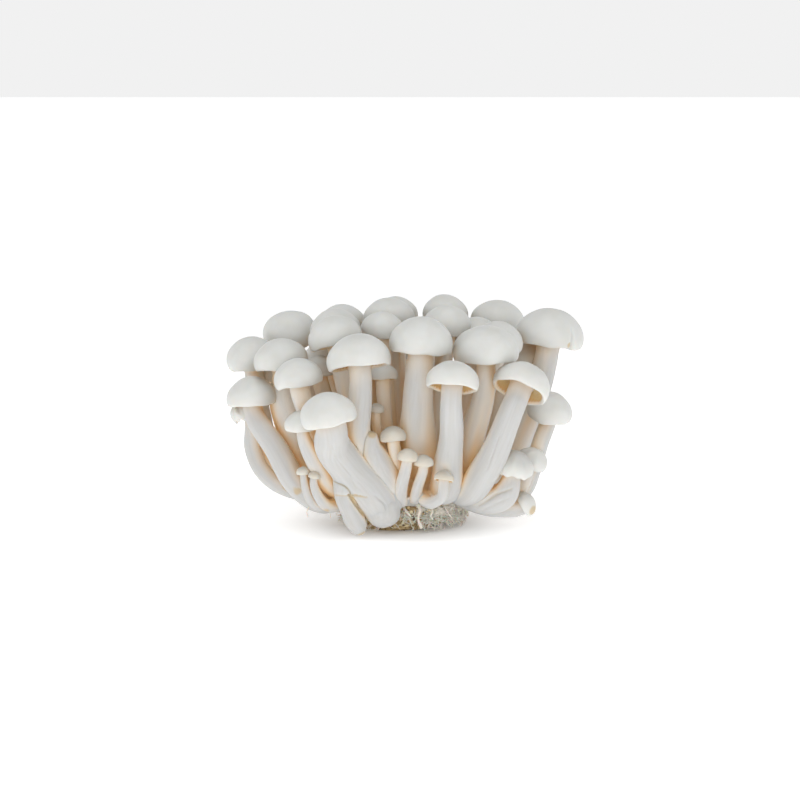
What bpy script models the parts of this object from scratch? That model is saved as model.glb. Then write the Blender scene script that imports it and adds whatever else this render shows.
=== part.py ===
"""A bunch of white shimeji mushrooms, standing on the cut plug of substrate that it grew on.

Metres, +Z up. The origin is the middle of the plug's flat underside. The bunch is seen from the
front along +Y, so +X is the viewer's right.
"""

import math
import random

import bmesh
import bpy
from mathutils import Matrix, Vector, noise
from mathutils.bvhtree import BVHTree

MM = 0.001
GAP = 0.35 * MM
SEED = 7

# The plug of sawdust and bran, as wide as the mouth of the bottle that the bunch grew in: a flat
# underside, a lower edge that is broken away most on the right, and a nearly level top. Each ring
# is (radius, height, middle to the right, middle to the back) in mm.
PLUG_RINGS = (
    (15.0, 0.0, -3.0, -1.0),
    (18.5, 2.6, -1.5, -0.5),
    (22.0, 6.5, 0.0, 0.0),
    (22.0, 10.5, 0.0, 0.0),
)
PLUG_TOP = 10.5
PLUG_ROUGHNESS = 1.0 * MM
LUMP_COLUMNS = 24
LUMPS_A_METRE = 120

# The room round the plug and the dome: where they face each other it grows by this share of the
# gap, so that neither reaches the other
SEAT_RISE = 0.8

# The dome of flesh where all the stems grow together, half an ellipsoid on the plug
DOME_CENTRE = Vector((0, 0, PLUG_TOP * MM + GAP))
DOME_RADIUS = 24.0 * MM
DOME_HEIGHT = 16.0 * MM
DOME_RINGS = 5
DOME_LAST_POLAR = 12.0
DOME_ROUGHNESS = 0.6 * MM

# A mushroom's cap, turned about its own axis, as (radius, height) in cap radii. It runs from the
# crown down the outside, round the rolled rim and back along the gills to the stem.
CAP_PROFILE = (
    (0.0, 0.85),
    (0.42, 0.77),
    (0.78, 0.50),
    (1.0, 0.02),
    (0.94, -0.22),
    (0.82, -0.16),
    (0.34, 0.08),
    (0.0, 0.12),
)
INNER_RIM_POINT, INNER_RIM_GILL_DEPTH = 5, 0.06
STEM_POINT, STEM_GILL_DEPTH = 6, 0.13
SAME_RING = 0.01 * MM
MOST_COLUMNS = 16
FEWEST_COLUMNS = 10
COLUMN_WIDTH = 3.8 * MM
STEM_SIDES = 8
STEM_TOP_IN_CAP = 0.35
STEM_STRAIGHT_BELOW = 0.45
SAME_POINT = 0.001 * MM

# Stems fan out from the dome: for each degree that a cap is away from upright, its foot is this
# many degrees away from the dome's top
FAN_POINT = Vector((0, 0, 5.0 * MM))
FOOT_SPREAD = 1.6
FOOT_MOST_POLAR = 92.0
FOOT_SUNK = 2.5 * MM
FAN_STATIONS = 6
FAN_LEAVING, FAN_ARRIVING = 0.75, 1.0

# Each mushroom that the front shows. x, y and z are the middle of the cap at its widest, width is
# the cap's, top and foot are the stem's thickness under the cap and at the dome, all in mm.
# right and back are how far the cap's axis tips from upright to those sides, in degrees.
#    name                 x      y      z     width right back  top   foot
SEEN = (
    ("front_left_low",     -25.1, -48.0, 46.0, 19.3, -13,  -4, 10.8, 10.0),
    ("front_mid_low",       17.3, -42.0, 56.5, 18.2,   6,  18,  7.2,  9.6),
    ("front_right_leaning", 41.4, -32.0, 54.0, 20.0,  25,  30,  8.2, 10.4),
    ("front_left_tall",    -14.9, -34.0, 63.2, 22.2,  -7,  11,  7.6, 11.0),
    ("front_mid_tall",       6.6, -28.0, 68.3, 22.9,   3,   2,  8.8, 12.0),
    ("front_right_tall",    29.4, -24.0, 64.7, 23.1,   0,   0,  6.8,  9.6),
    ("left_front_mid",     -36.3, -28.0, 56.0, 17.3, -11,   0,  7.0,  8.5),
    ("front_left_small",   -34.6, -34.0, 40.7, 12.5,  -4,   0,  4.4,  7.0),
    ("left_outer_low",     -53.2, -12.0, 47.2, 18.2,  -3,   2,  7.0,  8.5),
    ("left_high",          -43.0, -10.0, 60.0, 19.4,  -6,   0,  7.0,  8.0),
    ("left_outer_high",    -54.5,   8.0, 58.9, 18.4, -10, -12,  7.0,  8.0),
    ("left_outer_torn",    -55.8,  -6.0, 41.4, 11.6, -34,   0,  4.8,  6.0),
    ("right_outer_high",    53.4,   8.0, 66.7, 24.6,   8,   2,  8.6,  9.5),
    ("right_outer_low",     52.8,  -7.0, 41.6, 16.4,   8, -16,  6.0,  6.8),
    ("right_small_front",   39.0, -27.0, 24.6, 14.4,  10,  -6,  6.2,  6.8),
    ("right_small_back",    46.0, -14.0, 24.8, 11.4,  20, -16,  4.8,  5.6),
    ("crown_left_front",   -23.6, -12.0, 68.2, 19.5, -15,   8,  7.4,  8.0),
    ("crown_left_mid",     -24.0,   8.0, 69.0, 18.9,  -6,   0,  7.4,  8.0),
    ("crown_left_back",    -22.3,  28.0, 69.0, 17.8,  -4,   6,  7.0,  8.0),
    ("left_back_high",     -41.2,  22.0, 66.2, 19.8,  -6, -24,  7.4,  8.0),
    ("crown_mid_front",     -7.2,  -1.0, 70.4, 15.1,  -3,  -6,  6.6,  7.0),
    ("crown_mid",           -4.8,  18.0, 71.9, 19.1,  -3,   2,  7.4,  7.5),
    ("crown_mid_back",      -2.6,  38.0, 71.2, 17.3,   0,   8,  7.4,  8.0),
    ("crown_centre_front",   8.5,  -8.0, 66.0, 16.0,   4,   0,  7.0,  7.5),
    ("crown_centre",        16.2,   4.0, 71.2, 17.4,   4,  -8,  6.6,  7.5),
    ("crown_centre_back",   16.0,  32.0, 72.5, 17.2,   4,   6,  7.4,  8.0),
    ("crown_right_front",   34.1,  -2.0, 65.6, 18.6,   5,   0,  7.0,  8.0),
    ("crown_right_mid",     27.1,  16.0, 65.7, 17.6,   5,   4,  7.0,  8.0),
    ("crown_right_back",    35.5,  34.0, 68.9, 20.4,   7,   8,  7.4,  8.5),
    ("inner_small",         -6.6, -14.0, 55.2, 10.3,   0,   8,  5.0,  5.5),
    ("crown_inner",          8.0,  18.0, 65.5, 15.6,   2,   3,  6.6,  7.5),
    ("inner_left",         -30.0,   4.0, 54.8, 13.4,  -6,   0,  6.0,  6.6),
    ("inner_mid",          -11.4,   9.0, 54.0, 12.4,  -2,   0,  6.0,  6.6),
    ("inner_right",         35.5,  11.0, 51.5, 13.4,   6,   0,  6.6,  7.4),
)

# Buttons that never grew up, which share the dome's flesh, in the same columns
BUTTONS = (
    ("button_high",         -3.1, -31.0, 36.0,  9.2,  -4,   0,  4.4,  4.6),
    ("button_mid",           1.9, -36.0, 29.6,  7.4,   6,   0,  3.8,  4.0),
    ("button_right",         7.5, -35.0, 27.5,  7.0,   2,   0,  3.6,  4.0),
    ("button_curled",       14.6, -37.0, 22.3,  7.0,   8,  18,  3.8,  4.2),
    ("button_inner",        -9.1, -22.0, 44.1,  6.0,   4,   4,  3.2,  3.4),
    ("button_pin_left",    -34.5, -29.0, 23.2,  5.0,  -4,   0,  2.6,  2.8),
    ("button_pin_right",   -30.6, -31.0, 22.1,  4.5,  14,   0,  2.6,  2.8),
    ("button_fallen",       43.6, -17.5,  9.8,  9.2,  58,  -8,  6.2,  6.6),
)

# The stems whose way up the photo shows, from inside the dome to below the cap, as x, y, z and
# thickness in mm. Every other stem follows the fan.
ROUTES = {
    "front_left_low": (
        (-5.5, -23.5, 4, 8), (-7, -27, 10, 13), (-11.5, -29.5, 17, 14.6), (-18.8, -32.5, 26, 13),
        (-24, -38, 34, 12.4),
    ),
    "front_mid_low": (
        (13.5, -18, 14, 9), (15.5, -26, 18, 11), (16, -30, 26, 10.4), (17, -35, 37, 8.6),
    ),
    "front_right_leaning": (
        (17, -12, 14, 8), (24, -24, 16, 10.4), (29, -30, 24.5, 10.6), (33.5, -33, 34, 9.4),
    ),
    "front_left_tall": (
        (-5, -14, 14, 9), (-10, -22, 20.5, 10), (-14, -27, 28, 9.8), (-15.6, -30.5, 38, 9.2),
    ),
    "front_mid_tall": (
        (6.5, -12, 15, 10), (7, -18, 24, 12.4), (5.5, -22, 35, 13), (5.5, -25, 47, 11),
    ),
    "front_right_tall": (
        (16, -10, 15, 8.5), (22.5, -17, 24, 8.6), (25.5, -20, 36, 8.2), (28.5, -22, 48, 7.8),
    ),
    "left_outer_high": (
        (-19, 0, 13.5, 8), (-31, 1, 14.2, 8.6), (-43, 1.5, 19, 8.8), (-49.2, 3, 28.5, 8.8),
        (-52, 5, 40, 8.2),
    ),
    "left_high": (
        (-19, -6, 13.5, 8.5), (-30, -9, 16, 9.5), (-35.5, -9.5, 24, 10), (-39, -10, 35.5, 11.4),
        (-42, -10, 46, 10.4),
    ),
    "left_outer_low": (
        (-19, -11, 12.5, 8), (-28.5, -17.5, 11.2, 9.4), (-37.8, -19.5, 18.5, 9.2), (-44, -18, 29, 8.8),
    ),
    "front_left_small": (
        (-15, -14, 14, 6), (-24, -24, 17, 7.2), (-29.5, -28, 25, 6.8),
    ),
    "left_outer_torn": (
        (-20, -6, 13, 6), (-31, -8, 11.5, 6), (-42.5, -9, 14.5, 6), (-50, -7, 20, 6), (-53.5, -5, 28, 6),
    ),
    "right_outer_low": (
        (20, -5, 13.5, 7), (34, -7, 11, 6.5), (43, -9, 13, 6.4), (46.4, -9, 20.5, 6.4), (49.3, -8.5, 30, 6.2),
    ),
    "right_outer_high": (
        (19, 0, 13.5, 9), (32, 3, 17.5, 9.6), (40, 4.5, 25.5, 10.4), (44, 5, 33.5, 10.4),
        (49, 7, 47, 9.4),
    ),
    "inner_right": (
        (19, 5, 13.5, 8), (28, 8, 20, 8.6), (32.5, 9, 29, 8.6), (34.5, 10, 40, 8),
    ),
    "right_small_front": (
        (18, -12, 13, 6), (28, -20, 12, 9.6), (35.5, -24.5, 14.2, 10),
    ),
    "right_small_back": (
        (20, -6, 12, 6), (31.5, -10, 11, 6), (41, -13, 14, 6),
    ),
    "button_high": ((0, -17, 15, 4.6), (-0.5, -26, 21.5, 4.8)),
    "button_mid": ((0, -18, 13, 4.4), (0, -25.5, 12, 3.8), (-0.5, -30, 17, 4.6)),
    "button_right": ((4, -17, 13, 4), (4.5, -26, 13.5, 4), (5.5, -31, 18.5, 3.8)),
    "button_curled": ((12, -17, 14, 4), (7.5, -26, 14, 4.6), (10, -32, 13, 4.4), (14, -36, 16, 4)),
    "button_inner": ((-1, -12, 15, 3.4), (-6, -19, 27, 3.4)),
    "button_pin_left": ((-16, -13, 13, 4), (-30, -25, 11, 3.8)),
    "button_pin_right": ((-15, -16, 12.5, 5), (-26, -27, 11, 4.4)),
    "button_fallen": ((17, -9, 12, 6), (28, -15, 9, 7), (35, -17, 8.4, 7)),
}

# What else grows from a stem, in the same way: a finger beside the front stem's foot, and the
# stump of a broken one
SIDE_GROWTHS = {
    "front_left_low": (
        (-18.6, -31.6, 27, 8.4), (-19.4, -32, 20.5, 10), (-19.8, -32, 15.5, 8), (-18.4, -31.4, 11, 7),
        (-16.5, -30.2, 6.5, 7.2), (-14, -28.4, 1.4, 4.8),
    ),
    "front_left_tall": (
        (1, -18, 12, 9), (-3.6, -25.5, 17.5, 11), (-7.2, -29, 24.2, 11.2), (-9.5, -31, 29.8, 8.6),
        (-10.6, -32, 34, 5.8), (-10.2, -32.4, 38, 4),
    ),
}

# The hidden side repeats the front's way of growing: caps round the back, each in the other of
# two tiers. A tier is how far out, how high and how wide its caps are, how far they tip outward
# in degrees, and the stem's thickness at its top and foot. All but the last three vary a little,
# and so does the place round the back, in degrees.
BACK_COUNT = 9
BACK_FIRST, BACK_LAST = 22.0, 160.0
BACK_TIERS = ((50.0, 55.0, 19.5, 6.0, 7.2, 8.6), (54.0, 40.0, 16.5, 14.0, 6.2, 7.6))
BACK_TURN_VARIES, OUT_VARIES, HEIGHT_VARIES, WIDTH_VARIES = 2.0, 1.5, 3.5, 1.8

FLESH, FLESH_ROUGHNESS = (0.86, 0.83, 0.76, 1.0), 0.5
SUBSTRATE, SUBSTRATE_ROUGHNESS = (0.42, 0.34, 0.22, 1.0), 0.95


def clear_scene():
    for thing in list(bpy.data.objects):
        bpy.data.objects.remove(thing)


def new_collection(name):
    made = bpy.data.collections.new(name)
    bpy.context.scene.collection.children.link(made)
    return made


def new_object(name, mesh, collection):
    made = bpy.data.objects.new(name, mesh)
    collection.objects.link(made)
    return made


def new_material(name, colour, roughness):
    made = bpy.data.materials.new(name)
    made.use_nodes = True
    shader = made.node_tree.nodes["Principled BSDF"]
    shader.inputs["Base Color"].default_value = colour
    shader.inputs["Roughness"].default_value = roughness
    shader.inputs["Metallic"].default_value = 0.0
    made.diffuse_color = colour
    return made


def evaluated_mesh(thing):
    """The object's mesh with its modifiers, or its bevel if it is a curve, applied."""
    bpy.context.view_layer.update()
    graph = bpy.context.evaluated_depsgraph_get()
    return bpy.data.meshes.new_from_object(thing.evaluated_get(graph))


def lean(right, back):
    """The turn that tips an upright cap to the right and to the back."""
    axis = Vector((math.tan(math.radians(right)), math.tan(math.radians(back)), 1.0))
    return Vector((0, 0, 1)).rotation_difference(axis.normalized()).to_matrix()


def dome_point(azimuth, polar):
    """A point on the dome and the direction that faces out of it there."""
    a, p = math.radians(azimuth), math.radians(polar)
    flat = Vector((math.cos(a), math.sin(a), 0))
    point = DOME_CENTRE + flat * (DOME_RADIUS * math.sin(p))
    point.z += DOME_HEIGHT * math.cos(p)
    out = flat * (math.sin(p) / DOME_RADIUS)
    out.z = math.cos(p) / DOME_HEIGHT
    return point, out.normalized()


def stations_of(route):
    """A route's points in metres, each with the stem's radius there."""
    return [(Vector((x, y, z)) * MM, thickness / 2 * MM) for x, y, z, thickness in route]


class Mushroom:
    """One mushroom's place and sizes, and the stations that its stem passes from foot to cap."""

    def __init__(self, name, x, y, z, width, right, back, top, foot):
        self.name = name
        self.middle = Vector((x, y, z)) * MM
        self.radius = width / 2 * MM
        self.turn = lean(right, back)
        self.up = self.turn @ Vector((0, 0, 1))
        self.top, self.foot = top / 2 * MM, foot / 2 * MM
        self.stem_end = self.middle + self.up * (self.radius * STEM_TOP_IN_CAP)
        self.stem = self.routed() if name in ROUTES else self.fanned()
        self.growths = [stations_of(SIDE_GROWTHS[name])] if name in SIDE_GROWTHS else []

    def routed(self):
        below = self.middle - self.up * (self.radius * STEM_STRAIGHT_BELOW)
        return stations_of(ROUTES[self.name]) + [(below, self.top), (self.stem_end, self.top)]

    def fanned(self):
        """A smooth curve out of the dome, square to it, and up into the cap along its axis."""
        away = self.middle - FAN_POINT
        tip = math.degrees(math.atan2(math.hypot(away.x, away.y), away.z))
        azimuth = math.degrees(math.atan2(away.y, away.x))
        foot, leaving = dome_point(azimuth, min(tip * FOOT_SPREAD, FOOT_MOST_POLAR))
        root = foot - leaving * FOOT_SUNK
        reach = (self.stem_end - root).length
        stations = []
        for i in range(FAN_STATIONS):
            t = i / (FAN_STATIONS - 1)
            s = 1 - t
            point = root * (1 + 2 * t) * s * s + self.stem_end * (1 + 2 * s) * t * t
            point += leaving * (reach * FAN_LEAVING * t * s * s)
            point -= self.up * (reach * FAN_ARRIVING * s * t * t)
            stations.append((point, self.top + (self.foot - self.top) * s))
        return stations


def grown_from(number, azimuth, tier, draw):
    """A mushroom of the hidden side, at this azimuth in this tier."""
    out, height, width, tip, top, foot = BACK_TIERS[tier]
    a = math.radians(azimuth + draw.uniform(-BACK_TURN_VARIES, BACK_TURN_VARIES))
    out += draw.uniform(-OUT_VARIES, OUT_VARIES)
    height += draw.uniform(-HEIGHT_VARIES, HEIGHT_VARIES)
    width += draw.uniform(-WIDTH_VARIES, WIDTH_VARIES)
    x, y = out * math.cos(a), out * math.sin(a)
    right, back = tip * math.cos(a), tip * math.sin(a)
    return Mushroom(f"back_{number}", x, y, height, width, right, back, top, foot)


def all_mushrooms():
    draw = random.Random(SEED)
    step = (BACK_LAST - BACK_FIRST) / (BACK_COUNT - 1)
    hidden = [grown_from(i + 1, BACK_FIRST + step * i, i % 2, draw) for i in range(BACK_COUNT)]
    return [Mushroom(*row) for row in SEEN] + hidden


def cap_object(mushroom, clearance, spare):
    """The cap as a turned profile, its gills raised by a zigzag, tipped and put in its place."""
    radius = mushroom.radius
    columns = 2 * round(math.tau * radius / COLUMN_WIDTH / 2)
    columns = max(FEWEST_COLUMNS, min(MOST_COLUMNS, columns))
    points = []
    for place, (r, z) in enumerate(CAP_PROFILE):
        outward = clearance if place < INNER_RIM_POINT - 1 else -clearance
        points.append((r * (radius + clearance), 0, z * radius + outward))
    outline = bpy.data.meshes.new("outline")
    outline.from_pydata(points, [(i, i + 1) for i in range(len(points) - 1)], [])
    turned = new_object("outline", outline, spare)
    screw = turned.modifiers.new("turn", "SCREW")
    screw.steps = screw.render_steps = columns
    screw.use_merge_vertices = True
    screw.merge_threshold = SAME_RING
    cap = evaluated_mesh(turned)
    bpy.data.objects.remove(turned)
    raise_gills(cap, points[INNER_RIM_POINT], columns, INNER_RIM_GILL_DEPTH * radius)
    raise_gills(cap, points[STEM_POINT], columns, STEM_GILL_DEPTH * radius)
    cap.transform(Matrix.Translation(mushroom.middle) @ mushroom.turn.to_4x4())
    return new_object("cap", cap, spare)


def raise_gills(cap, ring, columns, depth):
    """Every second column of a ring goes up between its neighbours, which stay as gills."""
    for vertex in cap.vertices:
        out = math.hypot(vertex.co.x, vertex.co.y)
        column = round(math.atan2(vertex.co.y, vertex.co.x) / math.tau * columns)
        on_ring = abs(out - ring[0]) + abs(vertex.co.z - ring[2]) < SAME_RING
        if on_ring and column % 2:
            vertex.co.z += depth


def lengthened(places, clearance):
    """The places with the first and the last moved outward, along the line, by the clearance."""
    first = places[0] + (places[0] - places[1]).normalized() * clearance
    last = places[-1] + (places[-1] - places[-2]).normalized() * clearance
    return [first, *places[1:-1], last]


def tube_object(stations, clearance, spare):
    """A closed tube through the stations, each with its own radius."""
    curve = bpy.data.curves.new("stem", "CURVE")
    curve.dimensions = "3D"
    curve.bevel_depth = 1.0
    curve.bevel_resolution = (STEM_SIDES - 4) // 2
    curve.use_fill_caps = True
    spline = curve.splines.new("POLY")
    spline.points.add(len(stations) - 1)
    places = lengthened([place for place, _ in stations], clearance)
    for point, place, (_, radius) in zip(spline.points, places, stations):
        point.co = (*place, 1)
        point.radius = radius + clearance
    tube = new_object("stem", curve, spare)
    mesh = evaluated_mesh(tube)
    bpy.data.objects.remove(tube)
    work = bmesh.new()
    work.from_mesh(mesh)
    bmesh.ops.remove_doubles(work, verts=work.verts, dist=SAME_POINT)
    bmesh.ops.recalc_face_normals(work, faces=work.faces)
    work.to_mesh(mesh)
    work.free()
    return new_object("stem", mesh, spare)


def apply_boolean(thing, operation, others):
    """Joins the object with each of the others or cuts it, and keeps the result as its mesh."""
    for other in others:
        step = thing.modifiers.new(operation, "BOOLEAN")
        step.operation = operation
        step.solver = "MANIFOLD"
        step.object = other
    mesh = evaluated_mesh(thing)
    thing.modifiers.clear()
    thing.data = mesh


def islands_of(work):
    """The separate bodies of a bmesh, each as a list of its vertices."""
    found, seen = [], set()
    for start in work.verts:
        if start in seen:
            continue
        seen.add(start)
        island, waiting = [], [start]
        while waiting:
            vertex = waiting.pop()
            island.append(vertex)
            for edge in vertex.link_edges:
                other = edge.other_vert(vertex)
                if other not in seen:
                    seen.add(other)
                    waiting.append(other)
        found.append(island)
    return found


def drop_scraps(thing):
    """Keeps only the largest body of an object that a cut has left in several."""
    work = bmesh.new()
    work.from_mesh(thing.data)
    islands = sorted(islands_of(work), key=len)
    for scrap in islands[:-1]:
        bmesh.ops.delete(work, geom=scrap, context="VERTS")
    work.to_mesh(thing.data)
    work.free()


def whole_mushroom(mushroom, spare, clearance=0.0):
    cap = cap_object(mushroom, clearance, spare)
    tubes = [tube_object(line, clearance, spare) for line in [mushroom.stem, *mushroom.growths]]
    apply_boolean(cap, "UNION", tubes)
    for tube in tubes:
        bpy.data.objects.remove(tube)
    return cap


def tree_of(thing):
    mesh = thing.data
    return BVHTree.FromPolygons([v.co for v in mesh.vertices], [p.vertices for p in mesh.polygons])


class Rooms:
    """The room that each grown piece takes up, with the gap that its neighbours keep to it."""

    def __init__(self):
        self.taken = []

    def take(self, thing):
        self.taken.append((thing, tree_of(thing)))

    def press(self, thing):
        """Cuts the piece back where it would grow into its neighbours."""
        tree = tree_of(thing)
        crossed = [room for room, room_tree in self.taken if room_tree.overlap(tree)]
        apply_boolean(thing, "DIFFERENCE", crossed)
        drop_scraps(thing)


def turned_lump(name, rings, roughness, grow, collection):
    """A closed body of (radius, middle) rings, uneven by a fixed noise, grown outward."""
    work = bmesh.new()
    loops = []
    for number, (radius, middle) in enumerate(rings):
        loop = bmesh.ops.create_circle(work, segments=LUMP_COLUMNS, radius=radius)["verts"]
        for vertex in loop:
            uneven = noise.noise(vertex.co * LUMPS_A_METRE + Vector((0, 0, number)))
            vertex.co *= 1 + (uneven * roughness + grow) / radius
            vertex.co += middle
        loops.append(loop)
    bmesh.ops.bridge_loops(work, edges=work.edges[:])
    for rim in (loops[0], loops[-1]):
        bmesh.ops.contextual_create(work, geom=rim)
    bmesh.ops.recalc_face_normals(work, faces=work.faces)
    mesh = bpy.data.meshes.new(name)
    work.to_mesh(mesh)
    work.free()
    return new_object(name, mesh, collection)


def plug_object(name, grow, collection):
    rings = [(r * MM, Vector((x, y, z)) * MM) for r, z, x, y in PLUG_RINGS]
    rings[0][1].z -= grow
    rings[-1][1].z += grow * SEAT_RISE
    return turned_lump(name, rings, PLUG_ROUGHNESS, grow, collection)


def dome_object(name, grow, collection):
    rings = []
    for i in range(DOME_RINGS):
        polar = math.radians(90 - (90 - DOME_LAST_POLAR) * i / (DOME_RINGS - 1))
        rise = (DOME_HEIGHT + grow) * math.cos(polar)
        rings.append((DOME_RADIUS * math.sin(polar), DOME_CENTRE + Vector((0, 0, rise))))
    rings[0][1].z -= grow * SEAT_RISE
    return turned_lump(name, rings, DOME_ROUGHNESS, grow, collection)


def fused_foot(bunch, spare, rooms):
    """The dome with the buttons that share its flesh, and the room that they leave the others."""
    plug_seat = plug_object("plug_seat", GAP, spare)
    rooms.take(plug_seat)
    foot = dome_object("fused_foot", 0.0, bunch)
    buttons = []
    for row in BUTTONS:
        button = whole_mushroom(Mushroom(*row), spare)
        apply_boolean(button, "DIFFERENCE", [plug_seat])
        buttons.append(button)
        rooms.take(whole_mushroom(Mushroom(*row), spare, GAP))
    apply_boolean(foot, "UNION", buttons)
    drop_scraps(foot)
    rooms.take(dome_object("dome_seat", GAP, spare))
    return foot


def main():
    clear_scene()
    bunch = new_collection("shimeji_bunch")
    spare = new_collection("working_pieces")
    flesh = new_material("mushroom_flesh", FLESH, FLESH_ROUGHNESS)
    sawdust = new_material("substrate", SUBSTRATE, SUBSTRATE_ROUGHNESS)
    rooms = Rooms()

    plug = plug_object("substrate_plug", 0.0, bunch)
    plug.data.materials.append(sawdust)
    pieces = [fused_foot(bunch, spare, rooms)]
    for mushroom in all_mushrooms():
        piece = whole_mushroom(mushroom, spare)
        rooms.press(piece)
        rooms.take(whole_mushroom(mushroom, spare, GAP))
        spare.objects.unlink(piece)
        bunch.objects.link(piece)
        piece.name = "mushroom_" + mushroom.name
        pieces.append(piece)
    for piece in pieces:
        piece.data.materials.clear()
        piece.data.materials.append(flesh)
    for helper in list(spare.objects):
        bpy.data.objects.remove(helper)
    bpy.data.collections.remove(spare)


main()
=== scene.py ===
import math
import random

import bmesh
import bpy
import numpy as np
from mathutils import Matrix, Vector, noise
from mathutils.bvhtree import BVHTree


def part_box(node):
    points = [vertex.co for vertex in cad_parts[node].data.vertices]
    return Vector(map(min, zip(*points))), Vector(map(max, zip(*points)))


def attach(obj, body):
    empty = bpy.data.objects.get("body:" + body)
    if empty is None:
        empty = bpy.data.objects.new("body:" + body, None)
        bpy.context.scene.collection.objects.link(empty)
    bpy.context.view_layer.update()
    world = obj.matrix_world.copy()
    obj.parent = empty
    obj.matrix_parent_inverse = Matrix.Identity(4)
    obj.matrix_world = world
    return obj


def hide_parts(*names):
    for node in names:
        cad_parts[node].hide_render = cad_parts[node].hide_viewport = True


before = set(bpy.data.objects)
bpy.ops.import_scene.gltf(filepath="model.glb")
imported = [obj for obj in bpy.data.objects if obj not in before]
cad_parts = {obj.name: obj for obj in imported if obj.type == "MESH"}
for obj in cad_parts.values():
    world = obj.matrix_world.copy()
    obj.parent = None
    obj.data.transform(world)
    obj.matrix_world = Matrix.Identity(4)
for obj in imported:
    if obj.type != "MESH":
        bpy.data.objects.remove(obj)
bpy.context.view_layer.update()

MM = 0.001
SEED = 7

# The sawdust plug's outline as (radius, height, middle to the right, middle to the back) in mm
PLUG_RINGS = (
    (15.0, 0.0, -3.0, -1.0),
    (18.5, 2.6, -1.5, -0.5),
    (22.0, 6.5, 0.0, 0.0),
    (22.0, 10.5, 0.0, 0.0),
)

# The dome of flesh on the plug
DOME_CENTRE = Vector((0, 0, 10.85 * MM))
DOME_RADIUS = 24.0 * MM
DOME_HEIGHT = 16.0 * MM

# How a stem without a route of its own fans out from the dome
STEM_TOP_IN_CAP = 0.35
STRAIGHT_BELOW = 0.45
FAN_POINT = Vector((0, 0, 5.0 * MM))
FOOT_SPREAD = 1.6
FOOT_MOST_POLAR = 92.0
FOOT_SUNK = 2.5 * MM
FAN_STATIONS = 6
FAN_LEAVING, FAN_ARRIVING = 0.75, 1.0
FAN_CLEAR_OF_CAP = 0.9

# The mushrooms that the front shows: the middle of the cap at its widest, the cap's width, how
# far its axis tips to the right and to the back, and the stem's thickness under the cap and at
# the dome, in mm and degrees
#    name                 x      y      z     width right back  top   foot
SEEN = (
    ("front_left_low",     -25.1, -48.0, 46.0, 19.3, -13,  -4, 10.8, 10.0),
    ("front_mid_low",       17.3, -42.0, 56.5, 18.2,   6,  18,  7.2,  9.6),
    ("front_right_leaning", 41.4, -32.0, 54.0, 20.0,  25,  30,  8.2, 10.4),
    ("front_left_tall",    -14.9, -34.0, 63.2, 22.2,  -7,  11,  7.6, 11.0),
    ("front_mid_tall",       6.6, -28.0, 68.3, 22.9,   3,   2,  8.8, 12.0),
    ("front_right_tall",    29.4, -24.0, 64.7, 23.1,   0,   0,  6.8,  9.6),
    ("left_front_mid",     -36.3, -28.0, 56.0, 17.3, -11,   0,  7.0,  8.5),
    ("front_left_small",   -34.6, -34.0, 40.7, 12.5,  -4,   0,  4.4,  7.0),
    ("left_outer_low",     -53.2, -12.0, 47.2, 18.2,  -3,   2,  7.0,  8.5),
    ("left_high",          -43.0, -10.0, 60.0, 19.4,  -6,   0,  7.0,  8.0),
    ("left_outer_high",    -54.5,   8.0, 58.9, 18.4, -10, -12,  7.0,  8.0),
    ("left_outer_torn",    -55.8,  -6.0, 41.4, 11.6, -34,   0,  4.8,  6.0),
    ("right_outer_high",    53.4,   8.0, 66.7, 24.6,   8,   2,  8.6,  9.5),
    ("right_outer_low",     52.8,  -7.0, 41.6, 16.4,   8, -16,  6.0,  6.8),
    ("right_small_front",   39.0, -27.0, 24.6, 14.4,  10,  -6,  6.2,  6.8),
    ("right_small_back",    46.0, -14.0, 24.8, 11.4,  20, -16,  4.8,  5.6),
    ("crown_left_front",   -23.6, -12.0, 68.2, 19.5, -15,   8,  7.4,  8.0),
    ("crown_left_mid",     -24.0,   8.0, 69.0, 18.9,  -6,   0,  7.4,  8.0),
    ("crown_left_back",    -22.3,  28.0, 69.0, 17.8,  -4,   6,  7.0,  8.0),
    ("left_back_high",     -41.2,  22.0, 66.2, 19.8,  -6, -24,  7.4,  8.0),
    ("crown_mid_front",     -7.2,  -1.0, 70.4, 15.1,  -3,  -6,  6.6,  7.0),
    ("crown_mid",           -4.8,  18.0, 71.9, 19.1,  -3,   2,  7.4,  7.5),
    ("crown_mid_back",      -2.6,  38.0, 71.2, 17.3,   0,   8,  7.4,  8.0),
    ("crown_centre_front",   8.5,  -8.0, 66.0, 16.0,   4,   0,  7.0,  7.5),
    ("crown_centre",        16.2,   4.0, 71.2, 17.4,   4,  -8,  6.6,  7.5),
    ("crown_centre_back",   16.0,  32.0, 72.5, 17.2,   4,   6,  7.4,  8.0),
    ("crown_right_front",   34.1,  -2.0, 65.6, 18.6,   5,   0,  7.0,  8.0),
    ("crown_right_mid",     27.1,  16.0, 65.7, 17.6,   5,   4,  7.0,  8.0),
    ("crown_right_back",    35.5,  34.0, 68.9, 20.4,   7,   8,  7.4,  8.5),
    ("inner_small",         -6.6, -14.0, 55.2, 10.3,   0,   8,  5.0,  5.5),
    ("crown_inner",          8.0,  18.0, 65.5, 15.6,   2,   3,  6.6,  7.5),
    ("inner_left",         -30.0,   4.0, 54.8, 13.4,  -6,   0,  6.0,  6.6),
    ("inner_mid",          -11.4,   9.0, 54.0, 12.4,  -2,   0,  6.0,  6.6),
    ("inner_right",         35.5,  11.0, 51.5, 13.4,   6,   0,  6.6,  7.4),
)

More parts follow.
